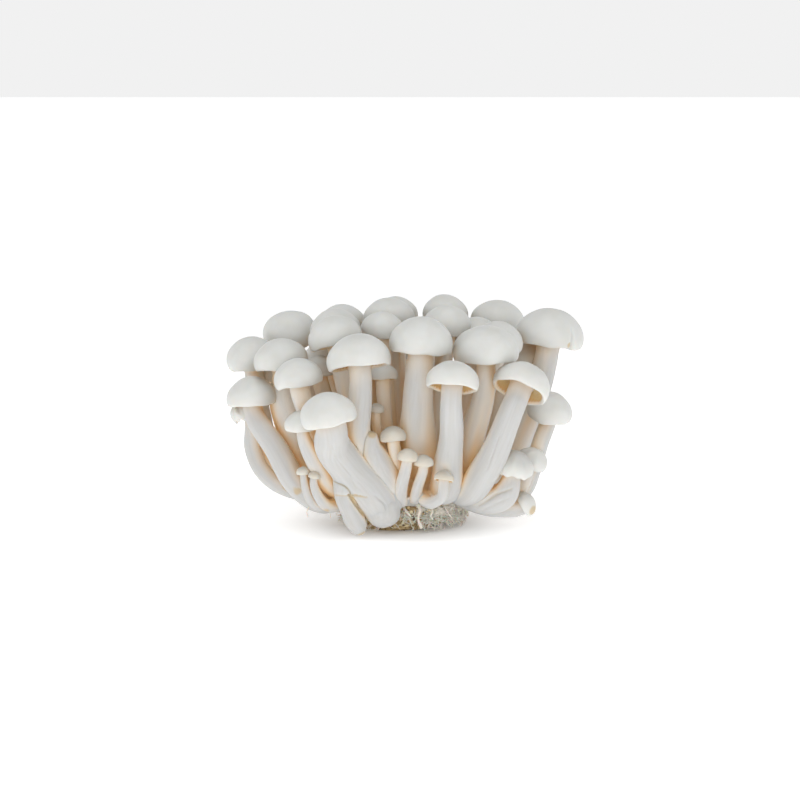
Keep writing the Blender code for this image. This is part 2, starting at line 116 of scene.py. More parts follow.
# The buttons that never grew up, in the same columns
BUTTONS = (
    ("button_high",         -3.1, -31.0, 36.0,  9.2,  -4,   0,  4.4,  4.6),
    ("button_mid",           1.9, -36.0, 29.6,  7.4,   6,   0,  3.8,  4.0),
    ("button_right",         7.5, -35.0, 27.5,  7.0,   2,   0,  3.6,  4.0),
    ("button_curled",       14.6, -37.0, 22.3,  7.0,   8,  18,  3.8,  4.2),
    ("button_inner",        -9.1, -22.0, 44.1,  6.0,   4,   4,  3.2,  3.4),
    ("button_pin_left",    -34.5, -29.0, 23.2,  5.0,  -4,   0,  2.6,  2.8),
    ("button_pin_right",   -30.6, -31.0, 22.1,  4.5,  14,   0,  2.6,  2.8),
    ("button_fallen",       43.6, -17.5,  9.8,  9.2,  58,  -8,  6.2,  6.6),
)

# The stems whose way up the photo shows, from inside the dome to below the cap, as x, y, z and
# thickness in mm
ROUTES = {
    "front_left_low": (
        (-5.5, -23.5, 4, 8), (-7, -27, 10, 13), (-11.5, -29.5, 17, 14.6), (-18.8, -32.5, 26, 13),
        (-24, -38, 34, 12.4),
    ),
    "front_mid_low": (
        (13.5, -18, 14, 9), (15.5, -26, 18, 11), (16, -30, 26, 10.4), (17, -35, 37, 8.6),
    ),
    "front_right_leaning": (
        (17, -12, 14, 8), (24, -24, 16, 10.4), (29, -30, 24.5, 10.6), (33.5, -33, 34, 9.4),
    ),
    "front_left_tall": (
        (-5, -14, 14, 9), (-10, -22, 20.5, 10), (-14, -27, 28, 9.8), (-15.6, -30.5, 38, 9.2),
    ),
    "front_mid_tall": (
        (6.5, -12, 15, 10), (7, -18, 24, 12.4), (5.5, -22, 35, 13), (5.5, -25, 47, 11),
    ),
    "front_right_tall": (
        (16, -10, 15, 8.5), (22.5, -17, 24, 8.6), (25.5, -20, 36, 8.2), (28.5, -22, 48, 7.8),
    ),
    "left_outer_high": (
        (-19, 0, 13.5, 8), (-31, 1, 14.2, 8.6), (-43, 1.5, 19, 8.8), (-49.2, 3, 28.5, 8.8),
        (-52, 5, 40, 8.2),
    ),
    "left_high": (
        (-19, -6, 13.5, 8.5), (-30, -9, 16, 9.5), (-35.5, -9.5, 24, 10), (-39, -10, 35.5, 11.4),
        (-42, -10, 46, 10.4),
    ),
    "left_outer_low": (
        (-19, -11, 12.5, 8), (-28.5, -17.5, 11.2, 9.4), (-37.8, -19.5, 18.5, 9.2), (-44, -18, 29, 8.8),
    ),
    "front_left_small": (
        (-15, -14, 14, 6), (-24, -24, 17, 7.2), (-29.5, -28, 25, 6.8),
    ),
    "left_outer_torn": (
        (-20, -6, 13, 6), (-31, -8, 11.5, 6), (-42.5, -9, 14.5, 6), (-50, -7, 20, 6), (-53.5, -5, 28, 6),
    ),
    "right_outer_low": (
        (20, -5, 13.5, 7), (34, -7, 11, 6.5), (43, -9, 13, 6.4), (46.4, -9, 20.5, 6.4),
        (49.3, -8.5, 30, 6.2),
    ),
    "right_outer_high": (
        (19, 0, 13.5, 9), (32, 3, 17.5, 9.6), (40, 4.5, 25.5, 10.4), (44, 5, 33.5, 10.4),
        (49, 7, 47, 9.4),
    ),
    "inner_right": (
        (19, 5, 13.5, 8), (28, 8, 20, 8.6), (32.5, 9, 29, 8.6), (34.5, 10, 40, 8),
    ),
    "right_small_front": (
        (18, -12, 13, 6), (28, -20, 12, 9.6), (35.5, -24.5, 14.2, 10),
    ),
    "right_small_back": (
        (20, -6, 12, 6), (31.5, -10, 11, 6), (41, -13, 14, 6),
    ),
    "button_high": ((0, -17, 15, 4.6), (-0.5, -26, 21.5, 4.8)),
    "button_mid": ((0, -18, 13, 4.4), (0, -25.5, 12, 3.8), (-0.5, -30, 17, 4.6)),
    "button_right": ((4, -17, 13, 4), (4.5, -26, 13.5, 4), (5.5, -31, 18.5, 3.8)),
    "button_curled": ((12, -17, 14, 4), (7.5, -26, 14, 4.6), (10, -32, 13, 4.4), (14, -36, 16, 4)),
    "button_inner": ((-1, -12, 15, 3.4), (-6, -19, 27, 3.4)),
    "button_pin_left": ((-16, -13, 13, 4), (-30, -25, 11, 3.8)),
    "button_pin_right": ((-15, -16, 12.5, 5), (-26, -27, 11, 4.4)),
    "button_fallen": ((17, -9, 12, 6), (28, -15, 9, 7), (35, -17, 8.4, 7)),
}

# A finger beside the lowest front stem's foot, and the stump of a broken stem
SIDE_GROWTHS = {
    "front_left_low": (
        (-17, -30.4, 27, 7), (-19, -31.6, 20.5, 9.6), (-19.8, -32, 15.5, 8), (-18.4, -31.4, 11, 7),
        (-16.5, -30.2, 6.5, 7.2), (-14, -28.4, 1.4, 4.8),
    ),
    "front_left_tall": (
        (1, -18, 12, 9), (-3.6, -25.5, 17.5, 11), (-7.2, -29, 24.2, 11.2), (-9.5, -31, 29.8, 8.6),
        (-10.6, -32, 34, 5.8), (-10.2, -32.4, 38, 4),
    ),
}

# The hidden side's two tiers: how far out, how high and how wide their caps are, how far they
# tip outward, and their stems' thickness at the top and the foot, and by how much these vary
BACK_COUNT = 9
BACK_FIRST, BACK_LAST = 22.0, 160.0
BACK_TIERS = ((50.0, 55.0, 19.5, 6.0, 7.2, 8.6), (54.0, 40.0, 16.5, 14.0, 6.2, 7.6))
BACK_TURN_VARIES, OUT_VARIES, HEIGHT_VARIES, WIDTH_VARIES = 2.0, 1.5, 3.5, 1.8

# Half of a cap's section in cap radii: out along the gills' edges, round the rolled rim and up to
# the crown
GILL_SECTION = ((0.42, 0.055), (0.50, 0.02), (0.62, -0.05), (0.74, -0.12), (0.84, -0.185))
RIM_SECTION = ((0.885, -0.225), (0.93, -0.235), (0.975, -0.17), (1.0, -0.03))
CROWN_SECTION = (
    (0.995, 0.10), (0.96, 0.24), (0.89, 0.38), (0.78, 0.51), (0.62, 0.64), (0.42, 0.76), (0.2, 0.83),
    (0.0, 0.85),
)

# Where the gills rise beside the stem and end at the rim, and where the cap's skin starts, in cap
# radii
GILL_RISES = 0.1
GILL_ENDS, GILL_FULL = 0.87, 0.78
SKIN_STARTS, SKIN_FULL = 0.86, 0.95

# How far apart a stem's rings are, and those of a folded stem or a growth
STEM_RING_STEP, FINE_RING_STEP = 1.3 * MM, 0.5 * MM

# Gills: each has one column for its edge and two for the gap beside it
GILLS_PER_MM = 1.9
FEWEST_GILLS = 16
COLUMNS_PER_GILL = 3
GILL_DEPTH = 0.13

# How uneven the flesh grows: by what share of the radius, how often round the body, and how often
# in a metre along it
CAP_OVAL = (0.05, 0.9, 0.0)
RIM_WAVE = (0.09, 1.4, 0.0)
STEM_RIBS = (0.009, 3.2, 22.0)
STEM_SWELL = (0.07, 0.7, 75.0)
RAGS_ROUND = 3.0
DIMPLES, DIMPLES_PER_METRE = 0.025, 120.0

# The stretch below a cap's middle in which the stem's unevenness gives way to the cap's, the
# stretch out to the rim in which waves and nicks grow, and up from it in which nicks fade, in radii
CAP_FADES_IN = (0.5, 0.2)
RIM_FADES_IN = (0.3, 0.9)
NICK_FADES_IN = (0.6, -0.1)

# How ragged a torn cap's rim is, in cap radii
TORN = {"left_outer_torn": 0.35, "right_small_front": 0.14, "right_small_back": 0.08}

# Splits and dents in a cap's rim, as azimuth and half width in degrees and depth in cap radii
NICKS = {
    "right_outer_high": ((-51, 4, 0.13),),
    "front_right_tall": ((-22, 16, 0.05), (-8, 5, 0.04)),
    "right_outer_low": ((-30, 10, 0.04),),
}

# Tan and brown marks where flesh was cut or bruised, as x, y, z and radius in mm
STAINS = {
    "front_left_low": ((-14.0, -30.0, 1.2, 2.4), (-5.6, -27.0, 1.6, 2.2), (-16.0, -36.0, 16.0, 1.6)),
    "front_left_tall": ((-10.2, -34.0, 37.8, 2.4),),
    "left_outer_torn": ((-41.0, -12.0, 15.0, 2.2), (-61.0, -8.0, 44.0, 1.6)),
    "left_outer_low": ((-36.8, -23.5, 15.6, 2.0), (-49.0, -21.0, 37.5, 0.8)),
    "left_outer_high": ((-42.5, -3.0, 15.6, 2.6), (-38.0, -3.5, 13.0, 1.8)),
    "right_outer_high": ((60.4, -2.4, 64.6, 1.8),),
    "right_small_front": ((34.6, -31.0, 21.0, 1.8),),
    "front_right_leaning": ((35.4, -36.2, 35.0, 1.2), (35.0, -35.6, 32.6, 1.0)),
    "button_fallen": ((46.6, -20.5, 8.0, 2.6),),
    "button_pin_right": ((-27.0, -28.5, 9.0, 2.4),),
}

# The ledge that a tear has left across the front stem's foot: its height, how far it reaches to
# both sides and how its ends thin out, how deep it is, over what height the surface below comes out
# again, how ragged it is and how far down below it painted shade reaches
TORN_ACROSS = "front_left_low"
LEDGE_HEIGHT = 16.4 * MM
LEDGE_LEFT, LEDGE_RIGHT = -25.0 * MM, -10.5 * MM
LEDGE_ENDS = 3.0 * MM
LEDGE_DEPTH = 1.1 * MM
LEDGE_FADES = 6.0 * MM
LEDGE_RAGGED, LEDGE_RAGS_PER_METRE = 0.6 * MM, 300.0
LEDGE_SHADE_REACH = 1.5 * MM
LEDGE_BEHIND = -24.0 * MM

# How dark the painted shade is in the bottom of a fold and under the ledge, and how much of a mark's
# radius is as brown as its middle
FOLD_PAINTED_SHADE = 0.9
STAIN_CORE = 0.4

# Folds are pressed only into flesh that faces the front by more than this
FOLD_FACES = -0.2

# How far from each other a stem and its growth are drawn together, by how much, and over what
# height this starts above the ledge
FILLET_REACH, FILLET = 3.0 * MM, 0.4 * MM
FILLET_STARTS = 0.5 * MM

# How wide the painted shade in the crease between them is, and how dark
CREASE_WIDTH, CREASE_PAINTED_SHADE = 0.7 * MM, 0.9

# Folds in the flesh, as half width and depth in mm and the x and z of their course from the front
FOLDS = {
    "front_left_low": (
        (0.7, 1.3, ((-18.2, 16.2), (-16.5, 13.4), (-14.4, 10.2), (-12.3, 7.3), (-11.3, 3.6))),
        (0.5, 0.4, ((-9.5, 16.2), (-6.0, 13.0), (-4.6, 8.6))),
        (0.5, 0.3, ((-24.0, 36.0), (-22.5, 30.0), (-18.0, 24.0), (-16.0, 19.0))),
    ),
    "front_right_leaning": (
        (0.5, 0.3, ((33.5, 37.0), (31.5, 31.0), (29.5, 25.0))),
    ),
    "right_small_front": (
        (0.8, 0.5, ((38.5, 17.5), (33.0, 15.5), (27.0, 10.5))),
        (0.8, 0.3, ((37.5, 14.0), (32.0, 11.5), (28.0, 8.0))),
    ),
}

# The columns of a finger or stump, of a rootlet and of a thread
GROWTH_COLUMNS, ROOTLET_COLUMNS, THREAD_COLUMNS = 64, 16, 4

# How deep in a neighbour flesh is still pressed out of it, and how far off it then stays
PRESS_MOST = 2.5 * MM
PRESS_CLEAR = 0.1 * MM

# The neighbours' shade: how many ways it is looked for, how wide these spread, from how far off the
# surface, how far away it is still felt and how little there, and how often it is smoothed
SHADE_RAYS = 12
SHADE_SPREAD = 0.98
SHADE_START = 1.2 * MM
SHADE_REACH = 45.0 * MM
SHADE_LOST = 0.6
SHADE_SMOOTHING = 24

# The foot: how far down the dome goes and how uneven it is, and how far its skirts reach up the
# stems, as a length and as a share of the stem, and their thickness in stem radii there
DOME_UNDER = 3.0 * MM
DOME_UNEVEN, DOME_SWELLS = 0.05, 2.5
SKIRT_REACH, SKIRT_SHARE = 17.0 * MM, 0.9
SKIRT_LOW, SKIRT_HIGH = 1.06, 0.9
SKIRT_RINGS, SKIRT_COLUMNS = 12, 24
FOOT_VOXEL = 0.6 * MM
FOOT_SMOOTHING = 4
FOOT_ROUGHNESS, FOOT_ROUGH_PER_METRE = 0.25 * MM, 260.0

# The plug's lumps and grains, as height and how many in a metre, and how far these sink in
PLUG_COLUMNS = 72
LUMPS, LUMPS_PER_METRE = 1.3 * MM, 180.0
GRAINS, GRAINS_PER_METRE = 1.8 * MM, 520.0
LUMPS_SUNK = 0.9 * MM
FLAT_BELOW, LUMPS_ABOVE = 0.2 * MM, 0.3 * MM

# Crumbs: between which heights they stick, half their lengths along three axes in mm, and how
# ragged they are
CRUMBS = 700
CRUMB_HEIGHTS = (0.8, 10.2)
CRUMB_SIZES = ((0.5, 1.6), (0.4, 0.9), (0.3, 0.7))
CRUMB_AXES = ((1, 0, 0), (0, 1, 0), (0, 0, 1), (1, 1, 0), (0, 1, 1))
CRUMB_RAGGED = 0.35
CRUMB_LOWEST = 0.05 * MM

# Where the mycelium is thickest round the plug, in degrees, between which heights it thins out, and
# the patches of it elsewhere
FLUFF_MIDDLE, FLUFF_HALF_WIDTH = -28.0, 62.0
FLUFF_CORE = 0.6
FLUFF_RAGGED, FLUFF_RAGS_PER_METRE = 0.5, 160.0
FLUFF_LOW, FLUFF_HIGH = 2.0 * MM, 5.0 * MM
PATCHES_PER_METRE = 210.0
PATCHES_PLACE = Vector((5, 3, 1))
PATCH_STARTS, PATCH_FULL = 0.25, 0.45

# The mat that it makes: how thick, and its lumps' height in mm and number in a metre
MAT_THICKNESS = 1.0
MAT_LUMPS = ((2.2, 350.0), (1.4, 1000.0))

# Its threads: how many there are and what share of them is spread evenly, where they start, their
# length and radius in mm, and how they turn outward and upward
THREADS, THREADS_EVEN = 1100, 0.15
THREADS_FROM, THREADS_CLEAR = 21.0 * MM, 1.0 * MM
THREAD_HEIGHTS, THREAD_LENGTHS, THREAD_RADII = (1.5, 11.0), (1.4, 4.2), (0.12, 0.3)
THREAD_OUTWARD, THREAD_UPWARD = (0.1, 0.6), (-1.0, 0.4)
THREAD_BENDS = 0.25
THREAD_LOWEST = 0.6 * MM

# The thick white rootlets that hang down, as x, y, z and thickness in mm
ROOTLETS = (
    (
        (5.2, -22, 11, 1.6), (6.4, -24.6, 9.2, 1.1), (5.7, -25.2, 6, 0.8), (6.6, -25.4, 3.6, 1.3),
        (6.8, -25.2, 2.4, 0.9),
    ),
    ((9.8, -21, 11, 0.8), (10.8, -23.6, 8.6, 0.7), (10.2, -24, 6.8, 0.6), (11, -24, 5.4, 0.5)),
    ((0.6, -22, 9.4, 1), (1.8, -24.8, 8.2, 0.9), (3.2, -25.2, 6.8, 0.6)),
    ((15, -19, 9.6, 0.7), (16.4, -21, 7.2, 0.5), (17.8, -20.8, 5.4, 0.4)),
    ((-33, -21.5, 9.6, 0.6), (-33.6, -22, 7.8, 0.4), (-33.2, -22.4, 6.2, 0.6)),
    ((-25.5, -22.5, 8, 0.5), (-25.2, -23, 6, 0.4)),
)

CAP_COLOUR, CAP_SHADE = (0.73, 0.735, 0.715, 1), (0.69, 0.695, 0.665, 1)
BUTTON_COLOUR, BUTTON_SHADE = (0.68, 0.665, 0.61, 1), (0.65, 0.60, 0.51, 1)
STEM_COLOUR, STEM_SHADE = (0.60, 0.60, 0.595, 1), (0.53, 0.525, 0.50, 1)
# Warm tan painted shade on the gills under each cap
GILL_PAINTED_SHADE = (0.74, 0.47, 0.20, 1)
# Painted shade on stems where the neighbours keep light off: lighter and warmer
SHADED_COLOUR = (0.76, 0.71, 0.64, 1)
# Painted shade that darkens caps between their neighbours
CAP_PAINTED_SHADE = (0.56, 0.55, 0.51, 1)
# Painted shade in the deepest recesses: warm orange
RECESS_PAINTED_SHADE = (0.95, 0.67, 0.35, 1)
# Brown of real cut and bruise marks, also used as painted shade in folds, creases and below the ledge
STAIN_AND_SHADE_COLOUR = (0.58, 0.44, 0.24, 1)
WOOD_DARK, WOOD_PALE, WOOD_DAMP = (0.34, 0.22, 0.10, 1), (0.72, 0.55, 0.30, 1), (0.13, 0.085, 0.05, 1)
CRUMB_DARK, CRUMB_GOLD, CRUMB_PALE = (0.16, 0.10, 0.05, 1), (0.70, 0.52, 0.27, 1), (0.86, 0.74, 0.48, 1)
MAT_COLOUR = (0.80, 0.75, 0.66, 1)
THREAD_COLOUR, THREAD_SHADE = (0.82, 0.79, 0.72, 1), (0.76, 0.70, 0.60, 1)
PAPER_COLOUR = (0.92, 0.92, 0.92, 1)

# How fine the flesh's fibres and streaks are across and along a stem, its clouds and pores, and
# the sawdust
FIBRES_PER_METRE, STREAKS_PER_METRE = (1500, 1500, 60), (700, 700, 30)
CLOUDS_PER_METRE, PORES_PER_METRE = 160.0, 1800.0
SAWDUST_PER_METRE = 900.0

CAMERA_TARGET = Vector((-0.0007, 0, 0.0447))
CAMERA_DISTANCE = 0.9
CAMERA_ELEVATION = 8.0
CAMERA_SENSOR, CAMERA_LENS = 36.0, 112.5
FLOOR_SIZE = 8.0
# The floor's glow keeps it white far off and fades close round the bunch as a painted shadow, between
# these distances from the middle
FLOOR_GLOW = 0.56
GLOW_STARTS, GLOW_FULL = 0.006, 0.054

# The studio's light from near the horizon and from overhead, and the sines of the heights between
# which one turns into the other
HORIZON_LIGHT, OVERHEAD_LIGHT = 0.88, 0.39
HORIZON_ENDS, OVERHEAD_STARTS = 0.2, 0.7

# Each light's name, place, width, power and colour
LIGHTS = (
    ("key", (0.05, -0.15, 0.9), 0.4, 1.9, (1.0, 1.0, 0.99)),
    ("front", (-0.1, -0.9, 0.3), 0.5, 1.4, (1.0, 1.0, 0.99)),
)


def lean(right, back):
    """The turn that tips an upright cap to the right and to the back."""
    axis = Vector((math.tan(math.radians(right)), math.tan(math.radians(back)), 1.0))
    return Vector((0, 0, 1)).rotation_difference(axis.normalized()).to_matrix()


def dome_point(azimuth, polar):
    """A point on the dome and the direction that faces out of it there."""
    a, p = math.radians(azimuth), math.radians(polar)
    flat = Vector((math.cos(a), math.sin(a), 0))
    point = DOME_CENTRE + flat * (DOME_RADIUS * math.sin(p))
    point.z += DOME_HEIGHT * math.cos(p)
    out = flat * (math.sin(p) / DOME_RADIUS)
    out.z = math.cos(p) / DOME_HEIGHT
    return point, out.normalized()


def ease(low, high, value):
    """0 at low, 1 at high and smooth between them."""
    t = max(0.0, min(1.0, (value - low) / (high - low)))
    return t * t * (3 - 2 * t)


def between(before, a, b, after, t):
    """The point at t, from 0 to 1, on the smooth curve from a to b."""
    bend = (2 * before - 5 * a + 4 * b - after) * t + (3 * a - before - 3 * b + after) * t * t
    return a + ((b - before) + bend) * (t / 2)


def smooth_through(points, pieces):
    """Points on the smooth curve through the given ones, so many to a stretch."""
    points = [Vector(point) for point in points]
    guides = [points[0] * 2 - points[1], *points, points[-1] * 2 - points[-2]]
    made = []
    for i in range(len(points) - 1):
        made += [between(*guides[i : i + 4], step / pieces) for step in range(pieces)]
    return made + [points[-1]]


class Line:
    """A smooth line through (x, y, z, radius) stations in metres, with a frame that turns along it."""

    PIECES = 12
    ARRIVING_PULL = 1.3

    def __init__(self, stations, arriving=None):
        stations = [Vector(station) for station in stations]
        self.points = smooth_through(stations, self.PIECES)
        if arriving:
            self.arrive(stations, arriving)
        self.lengths = [0.0]
        for a, b in zip(self.points, self.points[1:]):
            self.lengths.append(self.lengths[-1] + (b - a).xyz.length)
        self.length = self.lengths[-1]
        self.turns = self.carried_turns(arriving)

    def arrive(self, stations, arriving):
        """Bends the last stretch so that the line ends along the arriving turn's axis."""
        before, a, b = stations[-3:]
        way = arriving @ Vector((0, 0, 1)) * (self.ARRIVING_PULL * (b - a).xyz.length)
        after = Vector((*(a.xyz + way), b.w))
        last = [between(before, a, b, after, i / self.PIECES) for i in range(self.PIECES + 1)]
        self.points[-self.PIECES - 1 :] = last

    def direction(self, i):
        """Which way the line runs at one of its points."""
        ahead, behind = min(i + 1, len(self.points) - 1), max(i - 1, 0)
        return (self.points[ahead] - self.points[behind]).xyz.normalized()

    def carried_turns(self, arriving):
        """The frame at each point, carried down from the end so that it never twists."""
        up = Vector((0, 0, 1))
        last = len(self.points) - 1
        turn = arriving or up.rotation_difference(self.direction(last)).to_matrix()
        turns = [turn]
        for i in range(last - 1, -1, -1):
            turn = (turn @ up).rotation_difference(self.direction(i)).to_matrix() @ turn
            turns.insert(0, turn)
        return turns

    def place_at(self, length):
        """The number of the stretch that holds this length along the line, and the share of it."""
        low, high = 0, len(self.lengths) - 1
        while high - low > 1:
            middle = (low + high) // 2
            if self.lengths[middle] <= length:
                low = middle
            else:
                high = middle
        share = (length - self.lengths[low]) / max(1e-9, self.lengths[high] - self.lengths[low])
        return low, max(0.0, min(1.0, share))

    def radius(self, length):
        i, share = self.place_at(length)
        return self.points[i].w * (1 - share) + self.points[i + 1].w * share

    def carry(self, local):
        """Takes a point of a straight body, whose z is the length along it, onto the line."""
        beyond = local.z - max(0.0, min(self.length, local.z))
        i, share = self.place_at(local.z)
        middle = self.points[i].xyz * (1 - share) + self.points[i + 1].xyz * share
        turn = self.turns[i].lerp(self.turns[i + 1], share)
        return middle + turn @ Vector((local.x, local.y, beyond))


def line_of(route):
    """The line through a table's stations, given as x, y, z and thickness in mm."""
    return Line([(x * MM, y * MM, z * MM, thickness / 2 * MM) for x, y, z, thickness in route])


class Mushroom:
    """One mushroom's place and sizes, and the line that its stem follows from foot to cap."""

    def __init__(self, name, x, y, z, width, right, back, top, foot):
        self.name = name
        self.middle = Vector((x, y, z)) * MM
        self.radius = width / 2 * MM
        self.turn = lean(right, back)
        self.up = self.turn @ Vector((0, 0, 1))
        self.top, self.foot = top / 2 * MM, foot / 2 * MM
        below = self.middle - self.up * (self.radius * STRAIGHT_BELOW)
        stations = self.routed() if name in ROUTES else self.fanned()
        self.line = Line([*stations, (*below, self.top)], self.turn)
        self.cap_middle = self.line.length + self.radius * STRAIGHT_BELOW

    def routed(self):
        """Stations from the table of routes."""
        return [(x * MM, y * MM, z * MM, width / 2 * MM) for x, y, z, width in ROUTES[self.name]]

    def fanned(self):
        """Stations out of the dome, square to it, and up towards the cap along its axis."""
        away = self.middle - FAN_POINT
        tip = math.degrees(math.atan2(math.hypot(away.x, away.y), away.z))
        azimuth = math.degrees(math.atan2(away.y, away.x))
        foot, leaving = dome_point(azimuth, min(tip * FOOT_SPREAD, FOOT_MOST_POLAR))
        root = foot - leaving * FOOT_SUNK
        end = self.middle + self.up * (self.radius * STEM_TOP_IN_CAP)
        reach = (end - root).length
        stations = []
        for i in range(FAN_STATIONS):
            t = i / (FAN_STATIONS - 1)
            s = 1 - t
            point = root * (1 + 2 * t) * s * s + end * (1 + 2 * s) * t * t
            point += leaving * (reach * FAN_LEAVING * t * s * s)
            point -= self.up * (reach * FAN_ARRIVING * s * t * t)
            if (self.middle - point).dot(self.up) > self.radius * FAN_CLEAR_OF_CAP:
                stations.append((*point, self.top + (self.foot - self.top) * s))
        return stations


def grown_from(number, azimuth, tier, draw):
    """A mushroom of the hidden side, at this azimuth in this tier."""
    out, height, width, tip, top, foot = BACK_TIERS[tier]
    a = math.radians(azimuth + draw.uniform(-BACK_TURN_VARIES, BACK_TURN_VARIES))
    out += draw.uniform(-OUT_VARIES, OUT_VARIES)
    height += draw.uniform(-HEIGHT_VARIES, HEIGHT_VARIES)
    width += draw.uniform(-WIDTH_VARIES, WIDTH_VARIES)
    x, y = out * math.cos(a), out * math.sin(a)
    right, back = tip * math.cos(a), tip * math.sin(a)
    return Mushroom(f"back_{number}", x, y, height, width, right, back, top, foot)


def grown_mushrooms():
    """The mushrooms that the front shows, then the hidden side's."""
    draw = random.Random(SEED)
    step = (BACK_LAST - BACK_FIRST) / (BACK_COUNT - 1)
    hidden = [grown_from(i + 1, BACK_FIRST + step * i, i % 2, draw) for i in range(BACK_COUNT)]
    return [Mushroom(*row) for row in SEEN] + hidden


class Turned:
    """The outline of a straight turned body: its radius, length along, and share of cap and gill."""

    BLUNTNESS = 0.7
    END_RINGS = 4

    def __init__(self):
        self.rows = []

    def add(self, radius, along, cap=0.0, gill=0.0):
        self.rows.append((radius, along, cap, gill))

    def add_foot(self, line):
        """A rounded end, and how far along the line it reaches."""
        first = line.radius(0.0)
        depth = first * self.BLUNTNESS
        for turn in range(self.END_RINGS):
            a = turn / self.END_RINGS * math.pi / 2
            self.add(first * math.sin(a), depth * (1 - math.cos(a)))
        return depth

    def add_stem(self, line, start, end, step):
        """Rings along the line, between two lengths."""
        rings = max(3, round((end - start) / step))
        for i in range(rings):
            along = start + (end - start) * i / rings
            self.add(line.radius(along), along)

    def add_tip(self, line):
        """A rounded end at the far end of the line."""
        last = line.radius(line.length)
        for turn in range(self.END_RINGS + 1):
            a = turn / self.END_RINGS * math.pi / 2
            self.add(last * math.cos(a), line.length + last * self.BLUNTNESS * (math.sin(a) - 1))

    def add_cap(self, radius, middle, stem_radius):
        """A cap from the top of its stem to the crown, its widest ring at this length."""
        join = stem_radius / radius
        gills = [(join, -0.04), (join + 0.03, 0.04)]
        gills += [point for point in GILL_SECTION if point[0] > join + 0.06]
        for r, z in smooth_through(gills, 2)[:-1]:
            gill = ease(join, join + GILL_RISES, r) * ease(GILL_ENDS, GILL_FULL, r)
            self.add(r * radius, middle + z * radius, 0.0, gill)
        for r, z in smooth_through((GILL_SECTION[-1], *RIM_SECTION, *CROWN_SECTION), 2):
            cap = ease(SKIN_STARTS, SKIN_FULL, r) if z < 0 else 1.0
            self.add(max(0.0, r) * radius, middle + z * radius, cap)

    def spun(self, columns):
        """The outline spun round its axis, closed at the poles, with its shares in a layer."""
        work = bmesh.new()
        zones = work.verts.layers.float_vector.new("zones")
        work.verts.layers.float.new("stain_and_shade")
        row = []
        for radius, along, cap, gill in self.rows:
            vertex = work.verts.new((radius, 0, along))
            vertex[zones] = (cap, gill, 0)
            row.append(vertex)
        for a, b in zip(row, row[1:]):
            work.edges.new((a, b))
        bmesh.ops.spin(
            work, geom=work.verts[:] + work.edges[:], cent=(0, 0, 0), axis=(0, 0, 1),
            angle=math.tau, steps=columns, use_merge=True,
        )
        bmesh.ops.remove_doubles(work, verts=work.verts[:], dist=0.001 * MM)
        bmesh.ops.recalc_face_normals(work, faces=work.faces[:])
        return work


def raise_gills(work, columns, depth):
    """Lifts the underside beside each gill's edge, which keeps its place."""
    zones = work.verts.layers.float_vector["zones"]
    for vertex in work.verts:
        column = round(math.atan2(vertex.co.y, vertex.co.x) / math.tau * columns)
        if column % COLUMNS_PER_GILL:
            vertex.co.z += depth * vertex[zones].y


def unevenness(kind, side, offset, z=0.0):
    """A random swelling on one side of a body, as a share of its radius."""
    share, turns, along = kind
    return share * noise.noise(side * turns + offset + Vector((0, 0, z * along)))


def make_uneven(work, seed, middle, radius, torn=0.0, nicks=()):
    """An oval cap with dimples and a wavy, torn or nicked rim, on a ribbed and swelling stem."""
    offset = Vector((seed * 3.7, seed * 1.3, seed * 7.1))
    for vertex in work.verts:
        x, y, z = vertex.co
        out = math.hypot(x, y)
        if out < 0.001 * MM:
            continue
        side = Vector((x / out, y / out, 0))
        on_cap = ease(*(middle - radius * below for below in CAP_FADES_IN), z)
        near_rim = ease(*RIM_FADES_IN, out / radius)
        oval = 1 + unevenness(CAP_OVAL, side, offset)
        for azimuth, half_width, depth in nicks:
            away = abs((math.degrees(math.atan2(y, x)) - azimuth + 180) % 360 - 180)
            low = ease(*NICK_FADES_IN, (z - middle) / radius)
            oval -= depth * ease(half_width, 0, away) * low * near_rim
        stem = 1 + unevenness(STEM_RIBS, side, offset, z) + unevenness(STEM_SWELL, side, offset, z)
        scale = oval * on_cap + stem * (1 - on_cap)
        dimple = DIMPLES * noise.noise(vertex.co * DIMPLES_PER_METRE + offset) * (z > middle)
        wave = unevenness(RIM_WAVE, side, offset * 2) * near_rim
        rag = unevenness((torn, RAGS_ROUND, 0.0), side, offset) * near_rim
        vertex.co = (x * scale, y * scale, z + on_cap * (dimple + wave + rag) * radius)


def bend(work, line, seed):
    """Keeps the straight body's places for its grain, and bends it onto the line."""
    grain = work.verts.layers.float_vector.new("grain")
    offset = Vector((seed * 0.11, seed * 0.07, seed * 0.05))
    for vertex in work.verts:
        vertex[grain] = vertex.co + offset
        vertex.co = line.carry(vertex.co)


def joined(parts):
    """One bmesh of several, which are used up."""
    whole = bmesh.new()
    spare = bpy.data.meshes.new("spare")
    for part in parts:
        part.to_mesh(spare)
        whole.from_mesh(spare)
        part.free()
    bpy.data.meshes.remove(spare)
    return whole


def new_piece(name, work, node, material):
    """Links a finished bmesh to the scene as a piece that stands for a node of the frame."""
    mesh = bpy.data.meshes.new(name)
    work.to_mesh(mesh)
    work.free()
    mesh.shade_smooth()
    mesh.materials.append(material)
    piece = bpy.data.objects.new(name, mesh)
    bpy.context.scene.collection.objects.link(piece)
    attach(piece, "root")
    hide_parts(node)
    return piece


